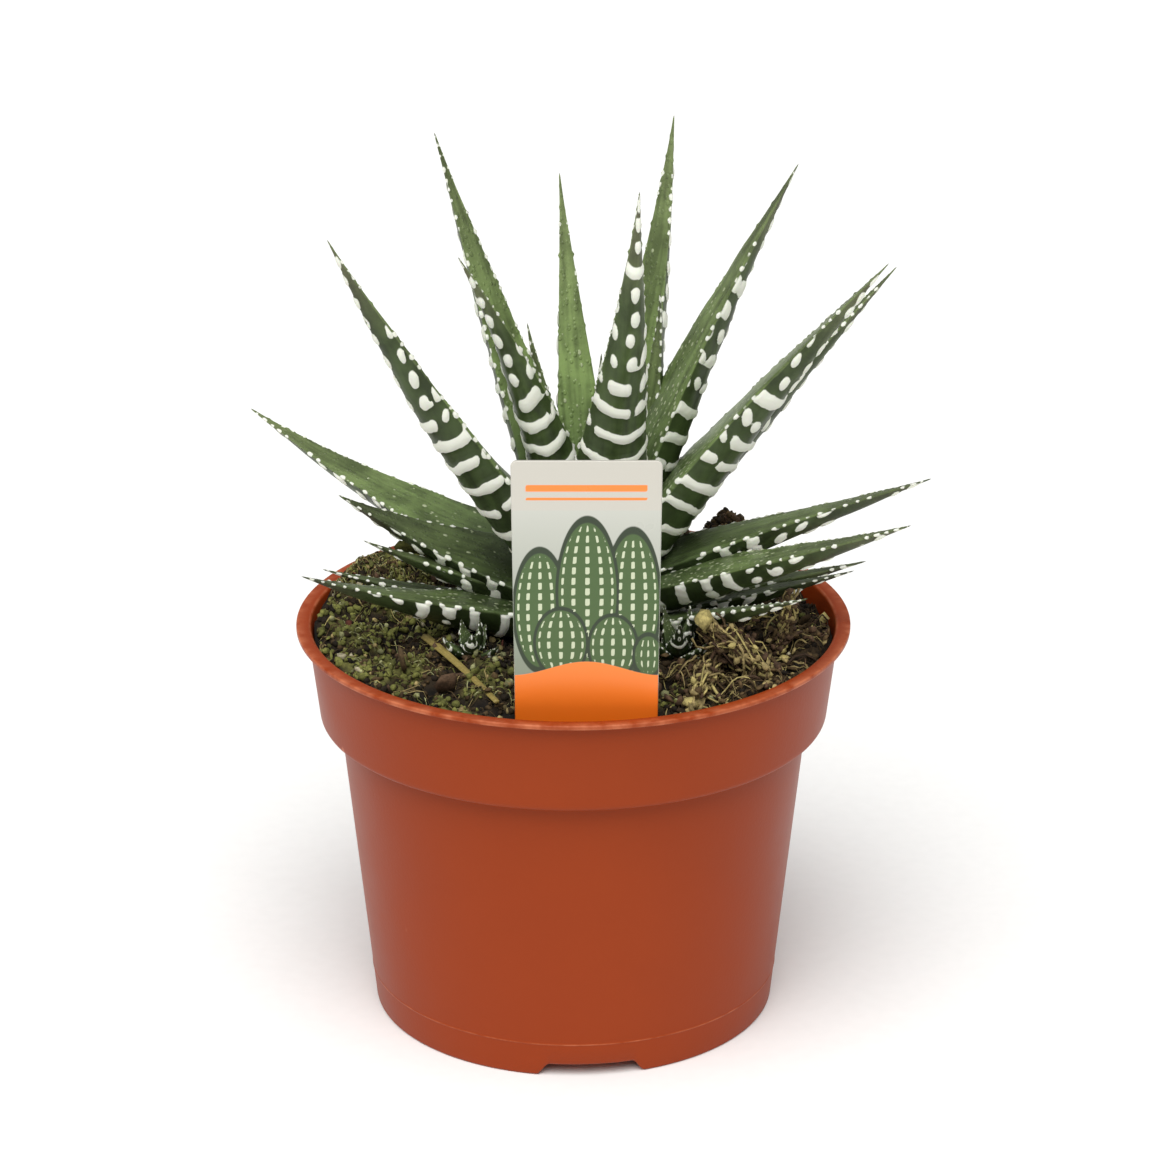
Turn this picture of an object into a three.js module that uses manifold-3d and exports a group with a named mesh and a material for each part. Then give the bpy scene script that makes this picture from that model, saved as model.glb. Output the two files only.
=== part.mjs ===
// A zebra haworthia in its 12 cm plastic nursery pot: pot, potting mix, a short stem with
// its roots, one solid for each leaf, two young offsets, a plant label and a bit of straw.
// Millimetres, +Z up. The origin is on the resting surface under the pot's axis, and the
// label stands at the front, towards -Y.
import * as THREE from "three";
import { mergeVertices } from "three/addons/utils/BufferGeometryUtils.js";
import Module from "manifold-3d";

const wasm = await Module();
wasm.setup();

// Driving dimensions of the pot.
const potHeight = 88.6;
const rimRadius = 60;
const rimInnerRadius = 56.8;
const rimThickness = 1;
const rimRound = 0.3;
const collarTopRadius = 57.6;
const collarFootRadius = 55.1;
const collarBottom = 67.2;
const bodyTopRadius = 51;
const footRadius = 44;
const wall = 1;
const footHeight = 3;
const footWidth = 2.4;
const floorThickness = 1.5;
const potSides = 40;
const notchCount = 3;
const notchTopWidth = 18.7;
const notchMouthWidth = 23;
const frontNotchAngle = -85;
const drainCount = 6;
const drainRadius = 4;
const drainCircle = 29;
const drainSides = 10;
const edgeRound = 0.7;
const innerFloor = footHeight + floorThickness;
const shelf = collarBottom + wall;

// Driving dimensions of the potting mix.
const mixLevel = 86.4;
const mixSides = 36;
const mixRings = [55.8, 50, 44, 37, 29, 19];
const seatGap = 0.3;

// Driving dimensions of the stem, its roots and the rosette.
const stem = { x: 4, y: 3, bottom: 60, lowestFoot: 86.3, top: 100.3, radius: 6.5, tipRadius: 1.6 };
const stemSides = 12;
const rootCount = 7;
const rootReach = 27;
const rootDrop = 26;
const rootRadius = 1.7;

// Driving dimensions that all leaves share.
const basePitch = 7.4;
const tipPitch = 4.6;
const bandRise = 0.55;
const toothRise = 0.45;
const bareBase = 17;
const plainStep = 9;
const leafDepth = 0.42;
const tipRadius = 0.12;
const bareTip = 5;
const smallestEdge = 0.05;

// Driving dimensions of the label and the straw.
const labelWidth = 30.4;
const labelWidthLow = 29.4;
const labelThickness = 0.7;
const labelHeight = 61;
const labelStake = 55;
const labelStakeWidth = 5;
const labelCorner = 1.2;
const labelLean = 7.5;
const labelFoot = new THREE.Vector3(2.8, -50, 84.8);
const strawRadius = 0.6;
const strawSides = 8;
const strawEnds = [[-31.8, -10], [-15.7, -45.8]];

const degree = Math.PI / 180;
const goldenAngle = 137.5 * degree;

// Colours and finishes.
const finish = (color, roughness) =>
  new THREE.MeshStandardMaterial({ color, roughness, metalness: 0 });
const potFinish = finish(0xa8482a, 0.45);
const mixFinish = finish(0x4a3c2a, 1);
const stemFinish = finish(0x8a7a52, 0.8);
const leafFinish = finish(0x35502c, 0.5);
const labelFinish = finish(0xe6e2d6, 0.4);
const strawFinish = finish(0xa08a4a, 0.8);

// Turns a closed geometry into a solid: only positions, shared vertices merged, and the
// flat triangles at a lathe's poles dropped.
function solidOf(geometry) {
  const bare = geometry.clone();
  bare.deleteAttribute("normal");
  bare.deleteAttribute("uv");
  const merged = mergeVertices(bare, 1e-4);
  const index = merged.index.array;
  const kept = [];
  for (let i = 0; i < index.length; i += 3) {
    const [a, b, c] = index.slice(i, i + 3);
    if (a !== b && b !== c && c !== a) kept.push(a, b, c);
  }
  const vertProperties = new Float32Array(merged.attributes.position.array);
  const triVerts = new Uint32Array(kept);
  return new wasm.Manifold(new wasm.Mesh({ numProp: 3, vertProperties, triVerts }));
}

// Gives the triangles of a solid back as a geometry.
function geometryOf(solid) {
  const { vertProperties, triVerts } = solid.getMesh();
  const geometry = new THREE.BufferGeometry();
  geometry.setAttribute("position", new THREE.BufferAttribute(vertProperties, 3));
  geometry.setIndex(new THREE.BufferAttribute(triVerts, 1));
  return geometry;
}

// Skins a row of rings that all have the same number of points, and closes both ends with
// a fan to a point. Seen along the row, the rings run anticlockwise for faces pointing out.
function skin(start, rings, end) {
  const sides = rings[0].length;
  const points = [start, ...rings.flat(), end];
  const last = points.length - 1;
  const faces = [];
  for (let j = 0; j < sides; j += 1) {
    const k = (j + 1) % sides;
    faces.push(0, 1 + k, 1 + j);
    faces.push(last, last - sides + j, last - sides + k);
    for (let i = 0; i + 1 < rings.length; i += 1) {
      const here = 1 + i * sides;
      const next = here + sides;
      faces.push(here + j, here + k, next + k);
      faces.push(here + j, next + k, next + j);
    }
  }
  const geometry = new THREE.BufferGeometry();
  const position = points.flatMap((p) => [p.x, p.y, p.z]);
  geometry.setAttribute("position", new THREE.Float32BufferAttribute(position, 3));
  geometry.setIndex(faces);
  return geometry;
}

// Keeps the largest body of a solid and drops the loose scraps that a cut can leave.
function largestBody(solid) {
  const bodies = solid.decompose();
  bodies.sort((a, b) => b.volume() - a.volume());
  return bodies[0];
}

// A point at an angle round the axis of a stem.
function roundStem(crown, angle, radius, height) {
  const x = crown.x + radius * Math.cos(angle);
  const y = crown.y + radius * Math.sin(angle);
  return new THREE.Vector3(x, y, height);
}

// A lathe turned about the Z axis from [radius, height] pairs.
function lathe(profile, sides) {
  const points = profile.map(([radius, height]) => new THREE.Vector2(radius, height));
  return new THREE.LatheGeometry(points, sides).rotateX(Math.PI / 2);
}

// The room of one drainage notch through the foot ring, wider at its mouth than at its
// top, at an angle round the pot.
function notchSolid(angle) {
  const outline = new THREE.Shape();
  outline.moveTo(-notchMouthWidth / 2, -footHeight);
  outline.lineTo(notchMouthWidth / 2, -footHeight);
  outline.lineTo(notchMouthWidth / 2, 0);
  outline.lineTo(notchTopWidth / 2, footHeight);
  outline.lineTo(-notchTopWidth / 2, footHeight);
  outline.lineTo(-notchMouthWidth / 2, 0);
  const depth = 4 * footWidth;
  const room = new THREE.ExtrudeGeometry(outline, { depth, bevelEnabled: false });
  room.rotateX(Math.PI / 2).rotateZ(Math.PI / 2);
  return solidOf(room.translate(footRadius - depth / 2, 0, 0).rotateZ(angle));
}

// The pot: one moulded wall with a thin flat rim, a wide collar that steps in to the
// tapered body, a raised floor with drainage holes, and three notches in the foot.
function potSolid() {
  const underRim = potHeight - rimThickness;
  const profile = [
    [0, footHeight],
    [footRadius - footWidth - edgeRound, footHeight],
    [footRadius - footWidth, 0],
    [footRadius, 0],
    [bodyTopRadius, collarBottom - edgeRound],
    [collarFootRadius - edgeRound, collarBottom],
    [collarFootRadius, collarBottom + edgeRound],
    [collarTopRadius, underRim - edgeRound],
    [collarTopRadius + rimRound, underRim],
    [rimRadius - rimRound, underRim],
    [rimRadius, potHeight - rimThickness / 2],
    [rimRadius - rimRound, potHeight],
    [rimInnerRadius + edgeRound, potHeight],
    [rimInnerRadius, potHeight - edgeRound],
    [collarFootRadius - wall, shelf + edgeRound],
    [bodyTopRadius - wall, shelf - edgeRound],
    [footRadius - wall, innerFloor],
    [0, innerFloor],
  ];
  let pot = solidOf(lathe(profile, potSides));
  for (let i = 0; i < notchCount; i += 1) {
    const angle = (frontNotchAngle + (i * 360) / notchCount) * degree;
    pot = pot.subtract(notchSolid(angle));
  }
  for (let i = 0; i < drainCount; i += 1) {
    const angle = ((i + 0.5) * 2 * Math.PI) / drainCount;
    const depth = 4 * footHeight;
    const drain = new THREE.CylinderGeometry(drainRadius, drainRadius, depth, drainSides);
    drain.rotateX(Math.PI / 2).translate(drainCircle, 0, footHeight).rotateZ(angle);
    pot = pot.subtract(solidOf(drain));
  }
  return pot;
}

// How high the potting mix stands at a point: lumps, a mossy heap at the back on the left
// and another at the wall, a steep clod at the back on the right, and hollows at the wall
// on the right and in front of the label. Each is given by its middle, rise and spread.
const heaps = [
  [-42, 27, 5.6, 8],
  [-52, 6, 2.5, 7],
  [35, 34, 12.5, 5.5],
  [50, 12, -2, 8],
  [3, -54, -2.2, 7],
];

function mixHeight(x, y) {
  let height = mixLevel;
  height += 0.9 * Math.sin(0.33 * x + 1.1) * Math.cos(0.29 * y + 0.4);
  height += 0.6 * Math.sin(0.71 * x - 0.43 * y + 2.3);
  for (const [middleX, middleY, rise, spread] of heaps) {
    const away = (x - middleX) ** 2 + (y - middleY) ** 2;
    height += rise * Math.exp(-away / (2 * spread ** 2));
  }
  return height;
}

// The potting mix: fills the pot to just below its rim, clear of the wall all round.
function mixSolid() {
  const ring = (radius, height) =>
    Array.from({ length: mixSides }, (_, i) => {
      const angle = (i * 2 * Math.PI) / mixSides;
      const x = radius * Math.cos(angle);
      const y = radius * Math.sin(angle);
      return new THREE.Vector3(x, y, height ?? mixHeight(x, y));
    });
  const clear = seatGap + 0.2;
  const rings = [
    ring(footRadius - wall - clear, innerFloor + seatGap),
    ring(bodyTopRadius - wall - clear, shelf - edgeRound + clear),
    ring(collarFootRadius - wall - clear, shelf + edgeRound + clear),
    ...mixRings.map((radius) => ring(radius)),
  ];
  const bottom = new THREE.Vector3(0, 0, innerFloor + seatGap);
  const top = new THREE.Vector3(0, 0, mixHeight(0, 0));
  return solidOf(skin(bottom, rings, top));
}

// A round root along a curve, with its own radius at each place.
function rootTube(curve, steps, sides, radiusAt) {
  const frames = curve.computeFrenetFrames(steps, false);
  const rings = [];
  for (let i = 0; i <= steps; i += 1) {
    const centre = curve.getPoint(i / steps);
    const radius = radiusAt(i / steps);
    rings.push(
      Array.from({ length: sides }, (_, j) => {
        const angle = (j * 2 * Math.PI) / sides;
        return centre.clone()
          .addScaledVector(frames.normals[i], radius * Math.cos(angle))
          .addScaledVector(frames.binormals[i], radius * Math.sin(angle));
      }),
    );
  }
  return skin(curve.getPoint(0), rings, curve.getPoint(1));
}

// A stem: straight where it is buried, then a cone up to its growing point.
function stemCone(crown, margin) {
  const { bottom, lowestFoot, top, radius, tipRadius: pointRadius } = crown;
  const profile = [
    [0, bottom - margin],
    [radius * 0.7 + margin, bottom - margin],
    [radius + margin, bottom + radius],
    [radius + margin, lowestFoot - 2],
    [pointRadius + margin, top + margin],
    [0, top + margin],
  ];
  return solidOf(lathe(profile, stemSides).translate(crown.x, crown.y, 0));
}

// The stem and its fleshy roots, one grown piece. It is buried up to the lowest leaves.
// With a margin it is the plain hole that the mix leaves round it.
function stemSolid(margin) {
  let solid = stemCone(stem, margin);
  for (let i = 0; i < rootCount; i += 1) {
    const angle = ((i * 2 + 0.7) * Math.PI) / rootCount;
    const height = stem.bottom + 5 + 1.5 * (i % 3);
    const path = new THREE.QuadraticBezierCurve3(
      roundStem(stem, angle, stem.radius - 3, height),
      roundStem(stem, angle + 0.2, rootReach * 0.6, height - 4),
      roundStem(stem, angle + 0.5, rootReach, height - rootDrop - 3 * (i % 2)),
    );
    const radiusAt = (s) => rootRadius * (1 - 0.55 * s) + margin;
    solid = solid.add(solidOf(rootTube(path, 4, 6, radiusAt)));
  }
  return solid;
}

// Where a leaf runs and how it is turned. Its spine leaves the stem at its foot, bows out
// by its bow halfway, and ends at its tip. At each place s from 0 to 1 the frame gives the
// way along, the way across the blade and the way out of its inner face.
function leafFrames(leaf, crown) {
  const tip = new THREE.Vector3(...leaf.tip);
  const heading = Math.atan2(tip.y - crown.y, tip.x - crown.x);
  const risen = (leaf.foot - crown.lowestFoot) / (crown.top - crown.lowestFoot);
  const stemEdge = THREE.MathUtils.lerp(crown.radius, crown.tipRadius, risen);
  const foot = roundStem(crown, heading, stemEdge - 0.6, leaf.foot);
  const across = new THREE.Vector3(-Math.sin(heading), Math.cos(heading), 0);
  const chord = tip.clone().sub(foot);
  const inward = chord.clone().normalize().cross(across);
  const middle = foot.clone().addScaledVector(chord, 0.5).addScaledVector(inward, -2 * leaf.bow);
  const spine = new THREE.QuadraticBezierCurve3(foot, middle, tip);
  return {
    length: spine.getLength(),
    at(s) {
      const along = spine.getTangent(s);
      const turn = (leaf.roll + leaf.twist * s) * degree;
      const side = across.clone().addScaledVector(along, -across.dot(along)).normalize();
      side.applyAxisAngle(along, turn);
      const face = along.clone().cross(side);
      return { centre: spine.getPoint(s), side, face };
    },
  };
}

// Half the width of a leaf: it grows evenly from the tip and levels off near the base,
// then narrows to the neck that joins it to the stem.
function halfWidth(leaf, s) {
  const fromTip = (1 - s) / 0.82;
  const blade = fromTip ** 1.15 / (1 + fromTip ** 8) ** (1 / 8);
  const neck = 1 - 0.35 * Math.max(0, 1 - s / 0.2) ** 2;
  return tipRadius + (leaf.width / 2) * blade * neck;
}

// How far along a leaf a band of a given number stands, counted from the foot. The pitch
// of the bands shrinks evenly from base to tip.
function bandPlace(number, length) {
  const shrink = (basePitch - tipPitch) / length;
  return (basePitch / shrink) * (1 - Math.exp(-number * shrink));
}

// Where the rings of a leaf go: plain ones on the bare base, then one before and one on
// each band. A cutter or an offset's small leaf has plain rings alone.
function leafStops(leaf, length) {
  const stops = [];
  const bareEnd = leaf.plain ? length - 3 : Math.min(bareBase, length * 0.3);
  for (let d = 0; d < bareEnd; d += leaf.plain ?? plainStep) stops.push([d, 0]);
  if (leaf.plain) return stops;
  for (let i = 0; bandPlace(i + 0.5, length) < length - bareTip; i += 1) {
    if (bandPlace(i, length) < bareEnd) continue;
    stops.push([bandPlace(i, length), 0]);
    stops.push([bandPlace(i + 0.5, length), 1]);
  }
  return stops;
}

// One leaf: five points round each ring, for its two margins with the flat inner face
// between them, and for a deep rounded back with its keel. Every other ring swells on the back
// and at the margins, which raises the white bands and the teeth. A cutter is the same
// blade with its bands' full size all along and a margin all round.
function leafSolid(leaf, crown, margin = 0) {
  const frames = leafFrames(leaf, crown);
  const rings = leafStops(leaf, frames.length).map(([distance, crest]) => {
    const s = distance / frames.length;
    const { centre, side, face } = frames.at(s);
    const half = halfWidth(leaf, s);
    const deep = half * 2 * leafDepth * (1 + 0.5 * s);
    const fade = Math.min(1, half / 3);
    const swell = (margin > 0 ? 1 : crest) * fade;
    const rise = margin + bandRise * swell;
    const tooth = margin + toothRise * swell;
    const section = [
      [half + tooth, 0.38 * deep + margin],
      [-half - tooth, 0.38 * deep + margin],
      [-0.66 * half - 0.7 * rise, -0.24 * deep - 0.7 * rise],
      [0, -0.6 * deep - rise],
      [0.66 * half + 0.7 * rise, -0.24 * deep - 0.7 * rise],
    ];
    return section.map(([a, b]) =>
      centre.clone().addScaledVector(side, a).addScaledVector(face, b));
  });
  return solidOf(skin(frames.at(0).centre, rings, frames.at(1).centre));
}

// The room that a leaf takes, with a margin.
function leafCutter(leaf) {
  return leafSolid({ ...leaf, plain: plainStep }, stem, seatGap);
}

// The leaves from the heart of the rosette outwards. Each is given by where its tip
// stands, how high its foot sits on the stem, how far it bows, its width, and how far it
// is turned about its own length at the base and then on towards the tip.
const leaves = [
  { tip: [6, 0, 148.8], foot: 100.3, bow: 0, width: 9, roll: 0, twist: 0 },
  { tip: [8, 7, 138.3], foot: 99.8, bow: 0, width: 8, roll: 0, twist: 0 },
  { tip: [13.5, -30, 192.8], foot: 98.3, bow: 5, width: 20, roll: 0, twist: 0 },
  { tip: [18.5, 8, 159.8], foot: 98.3, bow: 4, width: 13, roll: 20, twist: 0 },
  { tip: [-10, 18, 149.8], foot: 97.8, bow: 1, width: 10, roll: 0, twist: 0 },
  { tip: [2, 22, 149.3], foot: 97.3, bow: 1, width: 10, roll: 0, twist: 0 },
  { tip: [-29.4, 16, 192.6], foot: 97.3, bow: 1, width: 16.5, roll: -28, twist: 0 },
  { tip: [21.5, 24, 194.3], foot: 96.8, bow: 3.5, width: 19, roll: -30, twist: 45 },
  { tip: [-3, 25, 181.3], foot: 96.3, bow: 0, width: 13.5, roll: 0, twist: 0 },
  { tip: [47, 0, 190.3], foot: 95.8, bow: -2, width: 21, roll: 18, twist: 0 },
  { tip: [-23.5, -22, 176.7], foot: 95.8, bow: -3.5, width: 15.5, roll: 25, twist: 0 },
  { tip: [-50, -25, 181.3], foot: 95.3, bow: 3, width: 23, roll: -18, twist: 25 },
  { tip: [64.5, -25, 176.3], foot: 94.8, bow: -1.2, width: 23, roll: 15, twist: -5 },
  { tip: [69, 12, 164.3], foot: 94.8, bow: 0, width: 16, roll: 0, twist: 0 },
  { tip: [3, 48, 126.3], foot: 94.3, bow: 2, width: 15, roll: 0, twist: 0 },
  { tip: [2, -40, 126.3], foot: 93.3, bow: 2, width: 14, roll: 0, twist: 0 },
  { tip: [-72.8, 50, 119.3], foot: 94.3, bow: 3.5, width: 20, roll: -10, twist: 0 },
  { tip: [50, 38, 135.3], foot: 92.3, bow: 0, width: 14, roll: 0, twist: 0 },
  { tip: [75, -20, 127.8], foot: 94.8, bow: 0, width: 17, roll: 12, twist: -15 },
  { tip: [-50.4, 0, 116.8], foot: 93.3, bow: 2, width: 20, roll: -20, twist: 0 },
  { tip: [-12, 56, 100.3], foot: 91.3, bow: 1, width: 14, roll: 0, twist: 0 },
  { tip: [69, -44, 126.3], foot: 92.3, bow: 1, width: 18, roll: 8, twist: 0 },
  { tip: [24, 55, 108.3], foot: 89.8, bow: 1, width: 13, roll: 0, twist: 0 },
  { tip: [-45, -5, 108.3], foot: 89.8, bow: 1, width: 12, roll: 0, twist: 0 },
  { tip: [14, -40, 108.3], foot: 89.3, bow: 1, width: 12, roll: 0, twist: 0 },
  { tip: [-57, -25, 107.8], foot: 87.8, bow: 2, width: 18, roll: 0, twist: 0 },
  { tip: [63, -3, 102.8], foot: 89.3, bow: 1, width: 12, roll: 0, twist: 0 },
  { tip: [4, 56, 98.3], foot: 88.3, bow: 1, width: 12, roll: 0, twist: 0 },
  { tip: [-8, -36, 100.3], foot: 87.8, bow: 1, width: 11, roll: 0, twist: 0 },
  { tip: [-54.5, 5, 97.8], foot: 87.3, bow: 1, width: 11, roll: 0, twist: 0 },
  { tip: [60, -10, 103.3], foot: 87.3, bow: 1, width: 12, roll: 0, twist: 0 },
  { tip: [-34, 44, 98.3], foot: 86.8, bow: 1, width: 11, roll: 0, twist: 0 },
  { tip: [48.4, -42, 109.5], foot: 86.3, bow: 1, width: 11, roll: 0, twist: 0 },
];

// Each leaf is cut clear of the stem and of every leaf nearer the heart.
function rosetteSolids() {
  const cutters = [stemSolid(seatGap)];
  return leaves.map((leaf) => {
    let solid = leafSolid(leaf, stem);
    for (const cutter of cutters) solid = solid.subtract(cutter);
    cutters.push(leafCutter(leaf));
    return largestBody(solid.simplify(smallestEdge));
  });
}

// The young offsets that come up through the mix beside the rosette, each a small stem
// with leaves on a golden-angle spiral, all one grown piece. An offset is cut clear of the
// big leaves over it.
const offsets = [
  { x: -21.7, y: -18.5, height: 9, leaves: 6 },
  { x: 22, y: -22, height: 13, leaves: 7 },
];

function offsetSolid(offset, margin) {
  const ground = mixHeight(offset.x, offset.y);
  const crown = {
    x: offset.x,
    y: offset.y,
    bottom: ground - 8,
    lowestFoot: ground,
    top: ground + offset.height * 0.3,
    radius: 2.4,
    tipRadius: 1,
  };
  let solid = stemCone(crown, margin);
  for (let i = 0; i < offset.leaves; i += 1) {
    const out = 0.25 + (0.75 * i) / (offset.leaves - 1);
    const reach = offset.height * 0.8 * out;
    const height = ground + offset.height * (1.15 - 0.7 * out);
    const tip = roundStem(crown, i * goldenAngle, reach, height).toArray();
    const foot = crown.top - (crown.top - crown.lowestFoot) * out;
    const width = 3 + 0.15 * offset.height;
    const leaf = { tip, foot, bow: 0.5, width, roll: 0, twist: 0, plain: 4 };
    solid = solid.add(leafSolid(leaf, crown, margin));
  }
  for (const leaf of leaves) solid = solid.subtract(leafCutter(leaf));
  return largestBody(solid.simplify(smallestEdge));
}

// The plant label: a thin card with rounded corners that narrows to a stake below the mix.
function labelSolid(margin) {
  const half = labelWidth / 2 + margin;
  const low = labelWidthLow / 2 + margin;
  const top = labelHeight + margin;
  const stake = labelStakeWidth / 2 + margin;
  const outline = new THREE.Shape();
  outline.moveTo(half, top - labelCorner);
  outline.lineTo(half - labelCorner * 0.3, top - labelCorner * 0.3);
  outline.lineTo(half - labelCorner, top);
  outline.lineTo(labelCorner - half, top);
  outline.lineTo(labelCorner * 0.3 - half, top - labelCorner * 0.3);
  outline.lineTo(-half, top - labelCorner);
  outline.lineTo(-low, -margin);
  outline.lineTo(-stake, -labelStake * 0.4);
  outline.lineTo(0, -labelStake - margin);
  outline.lineTo(stake, -labelStake * 0.4);
  outline.lineTo(low, -margin);
  const depth = labelThickness + 2 * margin;
  const card = new THREE.ExtrudeGeometry(outline, { depth, bevelEnabled: false });
  card.translate(0, 0, -depth / 2).rotateX((90 + labelLean) * degree);
  return solidOf(card.translate(labelFoot.x, labelFoot.y, labelFoot.z));
}

// A dry straw lying on the mix, half sunk in.
function strawSolid(radius) {
  const [[x0, y0], [x1, y1]] = strawEnds;
  const at = (s) => {
    const x = THREE.MathUtils.lerp(x0, x1, s);
    const y = THREE.MathUtils.lerp(y0, y1, s);
    return new THREE.Vector3(x, y, mixHeight(x, y) + strawRadius);
  };
  const extrudePath = new THREE.CatmullRomCurve3([0, 0.25, 0.5, 0.75, 1].map(at));
  const section = new THREE.Shape(
    Array.from({ length: strawSides }, (_, i) => {
      const angle = (i * 2 * Math.PI) / strawSides;
      return new THREE.Vector2(radius * Math.cos(angle), radius * Math.sin(angle));
    }),
  );
  const settings = { steps: 8, extrudePath, bevelEnabled: false };
  return solidOf(new THREE.ExtrudeGeometry(section, settings));
}

// The mix with the plain holes that everything standing in it needs.
function plantedMix() {
  let mix = mixSolid().subtract(stemSolid(seatGap));
  for (const leaf of leaves) mix = mix.subtract(leafCutter(leaf));
  for (const offset of offsets) mix = mix.subtract(offsetSolid(offset, seatGap));
  mix = mix.subtract(labelSolid(seatGap)).subtract(strawSolid(strawRadius + seatGap));
  return largestBody(mix.simplify(2 * smallestEdge));
}

const potted = new THREE.Group();
const rosette = new THREE.Group();
potted.add(rosette);

function place(group, name, solid, material) {
  const mesh = new THREE.Mesh(geometryOf(solid), material);
  mesh.name = name;
  group.add(mesh);
}

place(potted, "pot", potSolid(), potFinish);
place(potted, "potting_mix", plantedMix(), mixFinish);
place(potted, "label", labelSolid(0), labelFinish);
place(potted, "straw", strawSolid(strawRadius), strawFinish);
place(rosette, "stem_and_roots", stemSolid(0), stemFinish);
rosetteSolids().forEach((solid, i) => {
  place(rosette, `leaf_${String(i + 1).padStart(2, "0")}`, solid, leafFinish);
});
offsets.forEach((offset, i) => {
  place(potted, `offset_${i + 1}`, offsetSolid(offset, 0), leafFinish);
});

export default potted;
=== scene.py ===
"""A zebra haworthia in its 12 cm nursery pot, with a plant label, ready to render.

Shapes are worked out in millimetres and become metres where a mesh is made. +Z is up, the
pot stands on its axis at the origin, and the label is at the front, towards -Y.
"""

import bpy
import numpy as np
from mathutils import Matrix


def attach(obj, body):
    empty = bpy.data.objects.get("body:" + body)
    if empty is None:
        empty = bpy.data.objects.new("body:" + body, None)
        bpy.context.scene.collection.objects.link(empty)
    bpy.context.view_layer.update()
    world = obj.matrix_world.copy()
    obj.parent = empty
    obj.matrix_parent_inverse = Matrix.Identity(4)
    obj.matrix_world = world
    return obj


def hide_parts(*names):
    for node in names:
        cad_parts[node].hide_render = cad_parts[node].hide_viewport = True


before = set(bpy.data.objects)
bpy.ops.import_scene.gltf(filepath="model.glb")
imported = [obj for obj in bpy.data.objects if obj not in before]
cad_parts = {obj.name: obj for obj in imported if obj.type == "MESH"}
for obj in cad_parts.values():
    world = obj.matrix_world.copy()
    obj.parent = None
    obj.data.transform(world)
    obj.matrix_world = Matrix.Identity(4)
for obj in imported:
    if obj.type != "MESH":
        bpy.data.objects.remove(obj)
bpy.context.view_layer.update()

# The pot
# A round nursery pot with a wide collar, injection-moulded in brick-red polypropylene. It
# has a flat rim, a thin wall, and a foot ring with three notches that let water drain.
METRE = 0.001
pot_height = 88.6
rim_radius, rim_inner_radius, rim_thickness = 60.0, 56.8, 1.0
collar_top_radius, collar_foot_radius, collar_bottom = 57.6, 55.1, 67.2
body_top_radius, foot_radius = 51.0, 44.0
wall, foot_height, foot_width, floor_thickness = 1.0, 3.0, 2.4, 1.5
notch_angles = np.radians([-85.0, 35.0, 155.0])
notch_top_half, notch_mouth_half, notch_rise = 8.9, 12.0, 2.9
mould_line_height, mould_line_rise, mould_line_width = 7.9, 0.1, 0.14
pot_columns, pot_spacing, pole_radius = 240, 4.0, 0.3


def smooth_step(value, low, high):
    """0 below low, 1 above high, and 3t^2 - 2t^3 between them."""
    t = np.clip((value - low) / (high - low), 0, 1)
    return t * t * (3 - 2 * t)


def closed_skin(grid, start, end):
    """Faces over a grid whose columns go round anticlockwise, seen against the way that the
    rows run: a quad between each four neighbours, and a fan from each end to its pole."""
    rows, columns = grid.shape[:2]
    index = np.arange(rows * columns).reshape(rows, columns)
    right = np.roll(index, -1, axis=1)
    quads = np.stack([index[:-1], right[:-1], right[1:], index[1:]], -1).reshape(-1, 4)
    points = [grid.reshape(-1, 3), np.reshape(start, (1, 3)), np.reshape(end, (1, 3))]
    first_pole = np.full(columns, rows * columns)
    fans = [np.stack([first_pole, right[0], index[0]], -1),
            np.stack([first_pole + 1, index[-1], right[-1]], -1)]
    return np.concatenate(points), quads, np.concatenate(fans)


def add_piece(name, skin, material, slot, replaced=(), **attributes):
    """Makes a mesh object from points in millimetres with quads and triangles, writes its
    named values at its points, and tells the frame what it rides on and stands for."""
    points, quads, triangles = skin
    mesh = bpy.data.meshes.new(name)
    corners = np.concatenate([quads.ravel(), triangles.ravel()])
    sides = np.concatenate([np.full(len(quads), 4), np.full(len(triangles), 3)])
    mesh.vertices.add(len(points))
    mesh.vertices.foreach_set("co", (points * METRE).ravel())
    mesh.loops.add(len(corners))
    mesh.loops.foreach_set("vertex_index", corners)
    mesh.polygons.add(len(sides))
    mesh.polygons.foreach_set("loop_start", np.cumsum(sides) - sides)
    mesh.polygons.foreach_set("use_smooth", np.ones(len(sides), bool))
    mesh.update(calc_edges=True)
    for key, values in attributes.items():
        kind = "FLOAT" if np.ndim(values) == 1 else "FLOAT_COLOR"
        field = "value" if kind == "FLOAT" else "color"
        made = mesh.attributes.new(key, kind, "POINT")
        made.data.foreach_set(field, np.ravel(values).astype(np.float32))
    mesh.materials.append(material)
    piece = bpy.data.objects.new(name, mesh)
    bpy.context.scene.collection.objects.link(piece)
    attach(piece, "root")
    if replaced:
        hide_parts(*replaced)


def linear(code):
    """A hex sRGB colour such as "#a4472a" as linear red, green, blue and alpha."""
    value = np.array([int(code[i:i + 2], 16) for i in (1, 3, 5)]) / 255
    bent = np.where(value <= 0.04045, value / 12.92, ((value + 0.055) / 1.055) ** 2.4)
    return (*bent, 1.0)


def add_node(material, kind, inputs=(), output=0, **settings):
    """Adds one shader node with its settings, and gives one of its outputs. The inputs go
    by name, or in the order of the node's sockets, and each is a value, a hex colour or
    the output of another node."""
    tree = material.node_tree
    node = tree.nodes.new(kind)
    for key, value in settings.items():
        setattr(node, key, value)
    for key, value in inputs.items() if isinstance(inputs, dict) else enumerate(inputs):
        if isinstance(value, bpy.types.NodeSocket):
            tree.links.new(value, node.inputs[key])
        else:
            node.inputs[key].default_value = linear(value) if isinstance(value, str) else value
    return node.outputs[output] if node.outputs else None


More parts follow.
